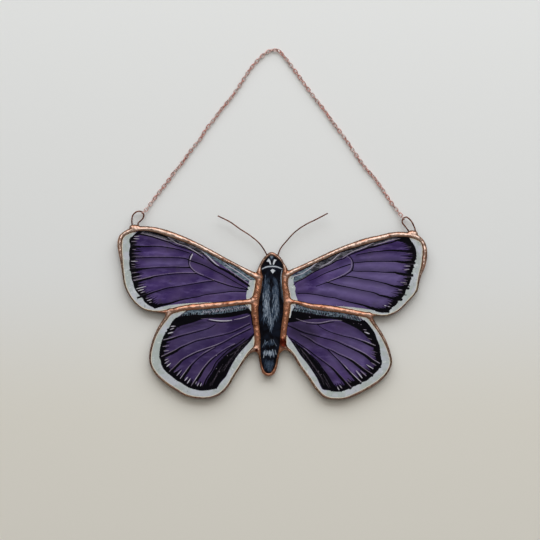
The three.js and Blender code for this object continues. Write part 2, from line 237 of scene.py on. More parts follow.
CAMERA_HEIGHT = 0.9
VIEW_CENTRE_PX = (PICTURE_PX / 2, PICTURE_PX / 2)
SENSOR_WIDTH = 36.0


def add_camera():
    data = bpy.data.cameras.new("camera")
    data.sensor_width = SENSOR_WIDTH
    data.lens = SENSOR_WIDTH * CAMERA_HEIGHT / (PICTURE_PX * PX)
    camera = bpy.data.objects.new("camera", data)
    camera.location = place(*VIEW_CENTRE_PX, BEAD_MID + CAMERA_HEIGHT)
    bpy.context.scene.collection.objects.link(camera)
    bpy.context.scene.camera = camera


# Chain

LINK_WIRE = 0.56 * MM
LINK_LENGTH = 3.16 * MM
LINK_WIDTH = 2.14 * MM
LINK_ARC_STEPS = 9
LINK_SIDES = 8
LINK_COUNT = 115
CHAIN_STEPS = 12
HOOKED_LINKS = 3
HOOKED_REACH = 0.6 * MM
EDGE_LINK_HEIGHT = 1.12 * MM
FLAT_LINK_HEIGHT = 0.9 * MM
LINK_DRIFT_DEG = 30
LINK_DRIFT_RUN = 21
LINK_SHAKE_RUN = 0.37
LINK_SHAKE_ROW = 5
FLOOR_GAP = 0.02 * MM


def link_ring():
    """The centreline of one link, long along X and wide along Y."""
    arc_radius = (LINK_WIDTH - LINK_WIRE) / 2
    arc_centre = (LINK_LENGTH - LINK_WIDTH) / 2
    ring = []
    for side in (1, -1):
        for step in range(LINK_ARC_STEPS):
            turn = math.radians(-90 + 180 * step / (LINK_ARC_STEPS - 1))
            ring.append(Vector((side * (arc_centre + arc_radius * math.cos(turn)),
                                side * arc_radius * math.sin(turn), 0)))
    return ring


def chain_line():
    """The chain's centreline from hook to hook: on the surface, and climbing to the wires at its ends."""
    left, right = place(*LEFT_HOOK), place(*RIGHT_HOOK)
    route = [place(*spot) for spot in CHAIN_ROUTE]
    first = left + (route[0] - left).normalized() * HOOKED_REACH
    last = right + (route[-1] - right).normalized() * HOOKED_REACH
    flat = curve_through([point[:2] for point in (first, *route, last)], CHAIN_STEPS)
    rest = (EDGE_LINK_HEIGHT + FLAT_LINK_HEIGHT) / 2
    rows = []
    for spot in flat:
        reach = min(math.dist(spot, first[:2]), math.dist(spot, last[:2]))
        lift = max(0.0, 1 - reach / CHAIN_LIFT_LENGTH) ** 2
        rows.append((*spot, rest + lift * (BEAD_MID - rest)))
    return evenly(np.array(rows), LINK_COUNT)


def link_roll(index):
    """How far a link is turned about the chain: every other one stands on edge, and all drift a little."""
    on_edge = math.pi / 2 if index % 2 == 0 else 0.0
    if min(index, LINK_COUNT - 1 - index) < HOOKED_LINKS:
        return on_edge
    sway = math.sin(index / LINK_DRIFT_RUN * 2 * math.pi)
    shake = noise.noise((index * LINK_SHAKE_RUN, 0, LINK_SHAKE_ROW))
    return on_edge + math.radians(LINK_DRIFT_DEG * (sway + shake))


def build_chain():
    centres = [Vector(row) for row in chain_line()]
    ring = link_ring()
    ring_points, ring_faces = tube(ring, [LINK_WIRE / 2] * len(ring), LINK_SIDES, closed=True)
    points, faces = [], []
    for index, centre in enumerate(centres):
        along = (centres[min(index + 1, LINK_COUNT - 1)] - centres[max(index - 1, 0)]).normalized()
        level = UP.cross(along).normalized()
        above = along.cross(level)
        roll = link_roll(index)
        wide = level * math.cos(roll) + above * math.sin(roll)
        thick = along.cross(wide)
        half_step = (EDGE_LINK_HEIGHT - FLAT_LINK_HEIGHT) / 2
        middle = centre + UP * (-half_step if index % 2 else half_step)
        start = len(points)
        points += [middle + along * p.x + wide * p.y + thick * p.z for p in ring_points]
        faces += [tuple(start + corner for corner in face) for face in ring_faces]
    lowest = min(point.z for point in points)
    if lowest < 0:
        points = [point + UP * (FLOOR_GAP - lowest) for point in points]
    chain = mesh_object("fine_cable_chain", points, faces)
    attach(chain, "root")
    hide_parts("chain")
    return chain


# Wires

WIRE_SIDES = 14
WIRE_STEPS = 8
WIRE_WAVER = 0.05
WIRE_WAVER_RUN = 700
TIP_ROUNDING = 0.45
ANTENNA_RADIUS = 0.36 * MM
LOOP_RADIUS = 0.4 * MM


def wire(name, node, route, radius, tip_rise=0.0):
    """A round wire at the middle height of the beads, with rounded ends. It may rise towards its tip."""
    flat = curve_through(placed(route), WIRE_STEPS)
    share = np.linspace(0, 1, len(flat))
    spots = [Vector((*row, BEAD_MID + tip_rise * up)) for row, up in zip(flat, share)]
    radii = [radius * (1 + WIRE_WAVER * noise.noise(spot * WIRE_WAVER_RUN)) for spot in spots]
    points, faces = tube(spots, radii, WIRE_SIDES)
    last = len(spots) - 1
    for end, spot, inner in ((0, spots[0], spots[1]), (last, spots[-1], spots[-2])):
        tip = len(points)
        points.append(spot + (spot - inner).normalized() * radius * TIP_ROUNDING)
        for side in range(WIRE_SIDES):
            pair = (end * WIRE_SIDES + side, end * WIRE_SIDES + (side + 1) % WIRE_SIDES)
            faces.append((tip, *pair) if end else (tip, *pair[::-1]))
    made = mesh_object(name, points, faces)
    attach(made, "root")
    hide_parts(node)
    return made


def build_wires():
    return [
        wire("copper_antenna_left", "antenna_left", LEFT_ANTENNA_WIRE, ANTENNA_RADIUS, ANTENNA_TIP_RISE),
        wire("copper_antenna_right", "antenna_right", RIGHT_ANTENNA_WIRE, ANTENNA_RADIUS, ANTENNA_TIP_RISE),
        wire("wire_loop_left", "loop_left", LEFT_LOOP_WIRE, LOOP_RADIUS),
        wire("wire_loop_right", "loop_right", RIGHT_LOOP_WIRE, LOOP_RADIUS),
    ]


# Solder beads, as one surface round a field that is negative inside the metal

FIELD_STEP = 0.315 * MM
FIELD_MARGIN = 1.2 * MM
BEAD_HEIGHTS = [height * MM for height in (
    -0.2, 0.08, 0.3, 0.7, 1.6, 2.8, 3.5, 3.72, 3.92, 4.1, 4.28, 4.44, 4.58, 4.7, 4.95,
)]
BEAD_STEPS = 6
BEAD_POWER = 2.2
BEAD_REACH = 2.2 * MM
FILLET = 0.32 * MM
BLOB_FILLET_WIDTH = 1.6 * MM
BLOB_LENGTH = 0.001 * MM
SHOULDER_TOP = 3.5 * MM
SHOULDER_BOTTOM = 0.7 * MM
BACK_GAP = 0.04 * MM
DOME_LOW = 0.22 * MM
DOME_SHARE = 0.5
LUMP_RUN = 260
LUMP_SEED = 3
LUMP_WIDTH_SHARE = 0.09
CROWN_RUN = 380
CROWN_SEED = 4
CROWN_SHARE = 0.16
DENT_RUN = 560
DENT_DEPTH = 0.12 * MM
DENT_LEAN = 0.35
THIN_BEAD = 0.55 * MM
WIDE_BEAD = 1.15 * MM
# How far each bead's patina is rubbed pale, which also lays its painted highlight and painted tan
# reflection, from 0 to 1
BEAD_WEAR_AND_SHEEN = {
    "left_forewing": 1.0, "left_seam": 0.3, "left_hindwing": 0.8,
    "right_forewing": 1.0, "right_seam": 0.3, "right_hindwing": 0.8, "body": 0.0,
}
BLOB_WEAR_AND_SHEEN = 0.75
WEAR_AND_SHEEN_BLEND = 0.6 * MM
HEAD_WEAR_AND_SHEEN = 0.8
HEAD_FROM_PX = 273
HEAD_FADE_PX = 6
# Places where the solder was overheated: x, y and radius, in pixels
BURNT_PLACES = [(256.6, 350, 2.8), (283.2, 343, 8.4)]


def bead_lines():
    rims = {
        "left_forewing": LEFT_FOREWING_RIM,
        "left_seam": LEFT_MID_SEAM,
        "left_hindwing": LEFT_HINDWING_RIM,
        "right_forewing": RIGHT_FOREWING_RIM,
        "right_seam": RIGHT_MID_SEAM,
        "right_hindwing": RIGHT_HINDWING_RIM,
    }
    lines = {name: curve_through(placed(rim), BEAD_STEPS) for name, rim in rims.items()}
    lines["body"] = curve_through(placed(BODY_LOOP), BEAD_STEPS, closed=True)
    return lines


def bead_maps(line, closed, xs, ys):
    """For each place on the grid, the distance outside the bead's side, and the bead's half width there."""
    outside = np.full((len(xs), len(ys)), BEAD_REACH)
    half = np.full((len(xs), len(ys)), BLOB_FILLET_WIDTH)
    ends = np.vstack([line[1:], line[:1]]) if closed else line[1:]
    for (ax, ay, aw), (bx, by, bw) in zip(line, ends):
        reach = max(aw, bw) + BEAD_REACH
        i0, i1 = np.searchsorted(xs, (min(ax, bx) - reach, max(ax, bx) + reach))
        j0, j1 = np.searchsorted(ys, (min(ay, by) - reach, max(ay, by) + reach))
        x, y = xs[i0:i1, None] - ax, ys[None, j0:j1] - ay
        dx, dy = bx - ax, by - ay
        share = np.clip((x * dx + y * dy) / max(dx * dx + dy * dy, 1e-18), 0, 1)
        width = aw + (bw - aw) * share
        gap = np.hypot(x - dx * share, y - dy * share) - width
        nearer = gap < outside[i0:i1, j0:j1]
        outside[i0:i1, j0:j1][nearer] = gap[nearer]
        half[i0:i1, j0:j1][nearer] = width[nearer]
    return outside, half


def value_noise(xs, ys, run, seed):
    """Smooth noise over the grid, from a coarse grid of its own."""
    rough_x = np.arange(xs[0] * run - 2, xs[-1] * run + 3)
    rough_y = np.arange(ys[0] * run - 2, ys[-1] * run + 3)
    values = np.random.default_rng(seed).uniform(-1, 1, (len(rough_x), len(rough_y)))

    def spread(at, rough):
        where = at * run - rough[0]
        low = np.floor(where).astype(int)
        share = where - low
        return low, share * share * (3 - 2 * share)

    i, u = spread(xs, rough_x)
    j, v = spread(ys, rough_y)
    u, v = u[:, None], v[None, :]

    def corner(a, b):
        return values[np.ix_(i + a, j + b)]

    return (corner(0, 0) * (1 - u) * (1 - v) + corner(1, 0) * u * (1 - v)
            + corner(0, 1) * (1 - u) * v + corner(1, 1) * u * v)


def solder_plan(lines, xs, ys):
    """For each place seen from above: how far across its bead it is, from 0 in the middle to 1 at the side,
    the bead's half width, and how far the patina is rubbed pale, which also lays the bead's painted
    highlight."""
    maps = [bead_maps(line, name == "body", xs, ys) for name, line in lines.items()]
    for blob in placed(SOLDER_BLOBS):
        maps.append(bead_maps(np.vstack([blob, blob + (BLOB_LENGTH, 0, 0)]), False, xs, ys))
    outside = np.stack([m[0] for m in maps])
    halves = np.stack([m[1] for m in maps])
    wear_and_sheen_levels = [BEAD_WEAR_AND_SHEEN[name] for name in lines] + [BLOB_WEAR_AND_SHEEN] * len(SOLDER_BLOBS)
    nearness = np.exp(-outside / WEAR_AND_SHEEN_BLEND)
    wear_and_sheen = np.tensordot(wear_and_sheen_levels, nearness, 1) / nearness.sum(0)
    pull = np.exp(-outside / FILLET)
    side = -FILLET * np.log(pull.sum(0))
    half = (halves * pull).sum(0) / pull.sum(0)
    half *= 1 + LUMP_WIDTH_SHARE * value_noise(xs, ys, LUMP_RUN, LUMP_SEED)
    return np.clip((side + half) / half, 0, None), half, wear_and_sheen


def solder_field(across, half, xs, ys):
    """Straight sides up to the glass, a dome that is lower on a thin bead, and a flat, round-edged back."""
    lumps = 1 - CROWN_SHARE * (0.5 + 0.5 * value_noise(xs, ys, CROWN_RUN, CROWN_SEED))
    dome = np.minimum(DOME_LOW + DOME_SHARE * half, BEAD_TOP - GLASS_TOP) * lumps
    above = GLASS_TOP + dome - SHOULDER_TOP
    size = np.minimum(half, BEAD_MID)
    layers = []
    for z in BEAD_HEIGHTS:
        rise = max(z - SHOULDER_TOP, 0) / above + max(SHOULDER_BOTTOM - z, 0) / (SHOULDER_BOTTOM - BACK_GAP)
        layers.append(((across ** BEAD_POWER + rise ** BEAD_POWER) ** (1 / BEAD_POWER) - 1) * size)
    return np.stack(layers, axis=2)


def surface_net(field, xs, ys, zs):
    """Points and quads of the surface where the field changes sign, with a point in each cell it crosses."""
    inside = field < 0
    axes = [np.array(axis) for axis in (xs, ys, zs)]
    cells = tuple(size - 1 for size in field.shape)
    sums, hits = np.zeros((*cells, 3)), np.zeros(cells)
    crossings = []
    for axis in range(3):
        low = tuple(slice(0, -1) if a == axis else slice(None) for a in range(3))
        high = tuple(slice(1, None) if a == axis else slice(None) for a in range(3))
        crossing = inside[low] != inside[high]
        where = np.argwhere(crossing)
        a, b = field[low][crossing], field[high][crossing]
        spots = np.stack([axes[k][where[:, k]] for k in range(3)], axis=1)
        step = axes[axis][where[:, axis] + 1] - axes[axis][where[:, axis]]
        spots[:, axis] += step * a / (a - b)
        crossings.append((axis, where, inside[low][crossing]))
        others = [k for k in range(3) if k != axis]
        for back in ((0, 0), (0, 1), (1, 0), (1, 1)):
            cell = where.copy()
            cell[:, others] -= back
            fits = ((cell >= 0) & (cell < cells)).all(1)
            key = tuple(cell[fits].T)
            np.add.at(sums, key, spots[fits])
            np.add.at(hits, key, 1)
    used = hits > 0
    number = np.full(cells, -1)
    number[used] = np.arange(used.sum())
    points = sums[used] / hits[used][:, None]
    quads = []
    for axis, where, leaving in crossings:
        first, second = (axis + 1) % 3, (axis + 2) % 3
        corners = []
        for back in ((0, 0), (1, 0), (1, 1), (0, 1)):
            cell = where.copy()
            cell[:, first] -= back[0]
            cell[:, second] -= back[1]
            corners.append(number[tuple(cell.T)])
        quad = np.stack(corners, axis=1)
        quad[~leaving] = quad[~leaving][:, ::-1]
        quads.append(quad)
    return points, np.vstack(quads)


def read_grid(values, xs, ys, spots):
    """The grid's values at places between its points."""
    i, j = (spots[:, 0] - xs[0]) / FIELD_STEP, (spots[:, 1] - ys[0]) / FIELD_STEP
    low_i, low_j = np.floor(i).astype(int), np.floor(j).astype(int)
    u, v = i - low_i, j - low_j
    near = values[low_i, low_j] * (1 - v) + values[low_i, low_j + 1] * v
    far = values[low_i + 1, low_j] * (1 - v) + values[low_i + 1, low_j + 1] * v
    return near * (1 - u) + far * u


def keep_values(mesh, name, values):
    """Keeps a number for each point of the mesh, for its material to read."""
    mesh.attributes.new(name, "FLOAT", "POINT").data.foreach_set("value", values.astype(np.float32))


def build_solder(lines):
    low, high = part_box("solder_frame")
    xs = np.arange(low.x - FIELD_MARGIN, high.x + FIELD_MARGIN, FIELD_STEP)
    ys = np.arange(low.y - FIELD_MARGIN, high.y + FIELD_MARGIN, FIELD_STEP)
    across, half, wear_and_sheen = solder_plan(lines, xs, ys)
    points, quads = surface_net(solder_field(across, half, xs, ys), xs, ys, BEAD_HEIGHTS)
    solder = mesh_object("solder_beads", points, quads.tolist())
    keep_values(solder.data, "side", read_grid(across, xs, ys, points))
    widths = read_grid(half, xs, ys, points)
    keep_values(solder.data, "thin", np.clip((WIDE_BEAD - widths) / (WIDE_BEAD - THIN_BEAD), 0, 1))
    to_head = (HEAD_FROM_PX - ORIGIN_PX[1] + points[:, 1] / PX) / HEAD_FADE_PX
    point_wear_and_sheen = np.maximum(read_grid(wear_and_sheen, xs, ys, points), HEAD_WEAR_AND_SHEEN * np.clip(to_head, 0, 1))
    keep_values(solder.data, "wear_and_sheen", point_wear_and_sheen)
    keep_values(solder.data, "burnt", burnt(points))
    dent(solder, low, high)
    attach(solder, "root")
    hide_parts("solder_frame")
    return solder


def burnt(points):
    """How near each point is to the middle of an overheated place."""
    value = np.zeros(len(points))
    for x, y, radius in placed(BURNT_PLACES):
        value = np.maximum(value, 1 - np.hypot(points[:, 0] - x, points[:, 1] - y) / radius)
    return value


def dent(solder, low, high):
    """Small hand-made dents, kept inside the box of the solids."""
    mesh = solder.data
    for vertex, facing in zip(mesh.vertices, [v.normal.copy() for v in mesh.vertices]):
        depth = DENT_DEPTH * (noise.noise(vertex.co * DENT_RUN) - DENT_LEAN)
        moved = vertex.co + facing * depth
        vertex.co = [min(max(value, a), b) for value, a, b in zip(moved, low, high)]


# Panes of glass, painted by strokes whose strength is kept at each point of a fine mesh

FINE_STEP = 0.24 * MM
COARSE_STEP = 0.6 * MM
EDGE_STEP = 0.5 * MM
EDGE_GAP = 0.14 * MM
BESIDE_REACH = 1.5 * PX
WELD_DISTANCE = 1e-6 * MM
STROKE_STEPS = 4
THINNEST_PX = 0.05
LAYERS = ("border", "wash", "ink", "chalk", "dusk", "bloom")


def nearest(line, spot):
    """The number of the line's point that is nearest to a place in pixels."""
    return int(np.argmin(np.linalg.norm(line[:, :2] - placed([spot])[0], axis=1)))


def body_stretch(body, start, end):
    """The part of the closed body loop that runs forwards between two places."""
    first = nearest(body, start)
    count = (nearest(body, end) - first) % len(body)
    return body[[(first + step) % len(body) for step in range(count + 1)]]


def pane_outlines(lines):
    body = lines["body"]
    return {
        "glass_forewing_left": [lines["left_forewing"], lines["left_seam"][::-1],
                                body_stretch(body, LEFT_WAIST, LEFT_NECK)],
        "glass_hindwing_left": [lines["left_seam"], lines["left_hindwing"],
                                body_stretch(body, LEFT_HIP, LEFT_WAIST)],
        "glass_forewing_right": [lines["right_forewing"], lines["right_seam"][::-1],
                                 body_stretch(body, RIGHT_NECK, RIGHT_WAIST)[::-1]],
        "glass_hindwing_right": [lines["right_seam"], lines["right_hindwing"],
                                 body_stretch(body, RIGHT_WAIST, RIGHT_HIP)[::-1]],
        "glass_body": [body, body[:1]],
    }


def ring_area(ring):
    """Twice the area of a closed ring, below zero where it runs clockwise with Y up."""
    x, y = np.array(ring, float).T
    return (x * np.roll(y, -1) - np.roll(x, -1) * y).sum()


def closed_outline(stretches):
    line = np.vstack(stretches)[:, :2]
    length = np.linalg.norm(np.diff(line, axis=0), axis=1).sum()
    ring = evenly(line, int(length / EDGE_STEP))[:-1]
    return ring if ring_area(ring) > 0 else ring[::-1]


def outline_distance(ring, spots, reach):
    """Distance from each spot to the closed outline, up to the reach, and negative outside."""
    distance = np.full(len(spots), reach)
    within = np.zeros(len(spots), bool)
    for (ax, ay), (bx, by) in zip(ring, np.roll(ring, -1, axis=0)):
        above = (spots[:, 1] > ay) != (spots[:, 1] > by)
        if above.any():
            cut = ax + (spots[above, 1] - ay) / (by - ay) * (bx - ax)
            within[above] ^= spots[above, 0] < cut
        near = ((spots[:, 0] > min(ax, bx) - reach) & (spots[:, 0] < max(ax, bx) + reach)
                & (spots[:, 1] > min(ay, by) - reach) & (spots[:, 1] < max(ay, by) + reach))
        if near.any():
            distance[near] = np.minimum(distance[near], off_segment(spots[near], (ax, ay), (bx, by))[0])
    return np.where(within, distance, -distance)


def off_segment(spots, start, end):
    """Distance from each spot to a segment, and how far along it the nearest place is."""
    start, end = np.array(start), np.array(end)
    run = end - start
    share = np.clip(((spots - start) @ run) / max(run @ run, 1e-18), 0, 1)
    return np.linalg.norm(spots - start - share[:, None] * run, axis=1), share


def pane_sheet(ring, step):
    """A triangle mesh that fills the outline, with points in rows like bricks."""
    low, high = ring.min(0), ring.max(0)
    rows = []
    for index, y in enumerate(np.arange(low[1], high[1], step * math.sqrt(0.75))):
        xs = np.arange(low[0] + (index % 2) * step / 2, high[0], step)
        rows.append(np.stack([xs, np.full(len(xs), y)], axis=1))
    spots = np.vstack(rows)
    spots = spots[outline_distance(ring, spots, EDGE_GAP * 2) > EDGE_GAP]
    corners = [Vector(spot) for spot in (*ring, *spots)]
    made = delaunay_2d_cdt(corners, [], [list(range(len(ring)))], 1, WELD_DISTANCE)
    return np.array([tuple(corner) for corner in made[0]]), [tuple(face) for face in made[2]], made[3]


def build_pane(name, node, ring, bead, paint):
    top, top_faces, top_from = pane_sheet(ring, FINE_STEP)
    under, under_faces, under_from = pane_sheet(ring, COARSE_STEP)
    start = len(top)
    points = np.vstack([
        np.column_stack([top, np.full(len(top), GLASS_TOP)]),
        np.column_stack([under, np.full(len(under), GLASS_BOTTOM)]),
    ])
    faces = top_faces + [tuple(start + corner for corner in face[::-1]) for face in under_faces]
    top_edge = {origin: index for index, sources in enumerate(top_from) for origin in sources}
    under_edge = {origin: start + index for index, sources in enumerate(under_from) for origin in sources}
    count = len(ring)
    for corner in range(count):
        on = (corner + 1) % count
        faces.append((top_edge[corner], under_edge[corner], under_edge[on], top_edge[on]))
    pane = mesh_object(name, points, faces, smooth=False)
    canvas = Canvas(points[:, :2] / PX * (1, -1) + ORIGIN_PX)
    paint(canvas)
    for layer, values in canvas.layers.items():
        keep_values(pane.data, layer, values)
    keep_values(pane.data, "by_bead", beside_bead(bead, points[:, :2]))
    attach(pane, "root")
    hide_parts(node)
    return pane


def beside_bead(bead, spots):
    """How near each spot is to the bead's side: 1 under it, and 0 a pixel and a half away."""
    gap = np.full(len(spots), BESIDE_REACH)
    for (ax, ay, aw), (bx, by, bw) in zip(bead, bead[1:]):
        reach = max(aw, bw) + BESIDE_REACH
        low = (min(ax, bx) - reach, min(ay, by) - reach)
        high = (max(ax, bx) + reach, max(ay, by) + reach)
        near = np.flatnonzero(((spots > low) & (spots < high)).all(1))
        if len(near):
            distance, share = off_segment(spots[near], (ax, ay), (bx, by))
            gap[near] = np.minimum(gap[near], distance - aw - (bw - aw) * share)
    return np.clip(1 - gap / BESIDE_REACH, 0, 1)


class Canvas:
    """Layers of paint over a pane's points. A layer is over one half where the paint covers the glass."""

    def __init__(self, spots):
        self.spots = spots
        self.layers = {layer: np.zeros(len(spots)) for layer in LAYERS}

    def stroke(self, layer, route, half_widths, strengths=1.0):
        """A brush stroke along a route in pixels. Half widths and strengths are spread along it."""
        route = np.array(route, float)
        if len(route) > 2:
            route = curve_through(route, STROKE_STEPS)
        along = np.linspace(0, 1, len(route))
        widths, powers = (np.interp(along, np.linspace(0, 1, len(values)), values)
                          for values in (np.atleast_1d(half_widths), np.atleast_1d(strengths)))
        for start, end, wide, narrow, power in zip(route, route[1:], widths, widths[1:], powers):
            reach = 2 * max(wide, narrow)
            low, high = np.minimum(start, end) - reach, np.maximum(start, end) + reach
            near = np.flatnonzero(((self.spots > low) & (self.spots < high)).all(1))
            if len(near):
                distance, share = off_segment(self.spots[near], start, end)
                width = np.maximum(wide + (narrow - wide) * share, THINNEST_PX)
                value = power * np.clip(1 - 0.5 * distance / width, 0, 1)
                self.layers[layer][near] = np.maximum(self.layers[layer][near], value)

    def region(self, layer, corners, soft=1.0, strength=1.0):
        """A filled patch with edges that fade over a number of pixels."""
        ring = np.array(corners, float)
        depth = outline_distance(ring, self.spots, soft * 2)
        value = strength * np.clip(0.5 + depth / (2 * soft), 0, 1)
        self.layers[layer] = np.maximum(self.layers[layer], value)


# Painting of the wings, in pixels

# border and outside are the line inside the pale border and the way round outside it.
# fringed gives the border's first and last points with a dark fringe.
# hem, aim, reach and teeth are the fringe's depth, where its fingers point, and their two lengths.
# fills: layer, strength, softness and corners. lines: layer, route, half widths and strength.
# veins: route from the margin, half widths, side of the pale line beside it, and that line's strength at
# the margin and at the far end.
# fingers: a dark stroke's start, end and half width. dashes: a pale stroke's start, end, half width and
# strength. combs: layer, strength, start, end, strokes, lean and half width.

ABOVE = (0, -1.2)
BELOW = (0, 1.3)
ABOVE_LEFT = (-0.9, -0.9)
ABOVE_RIGHT = (0.9, -0.9)

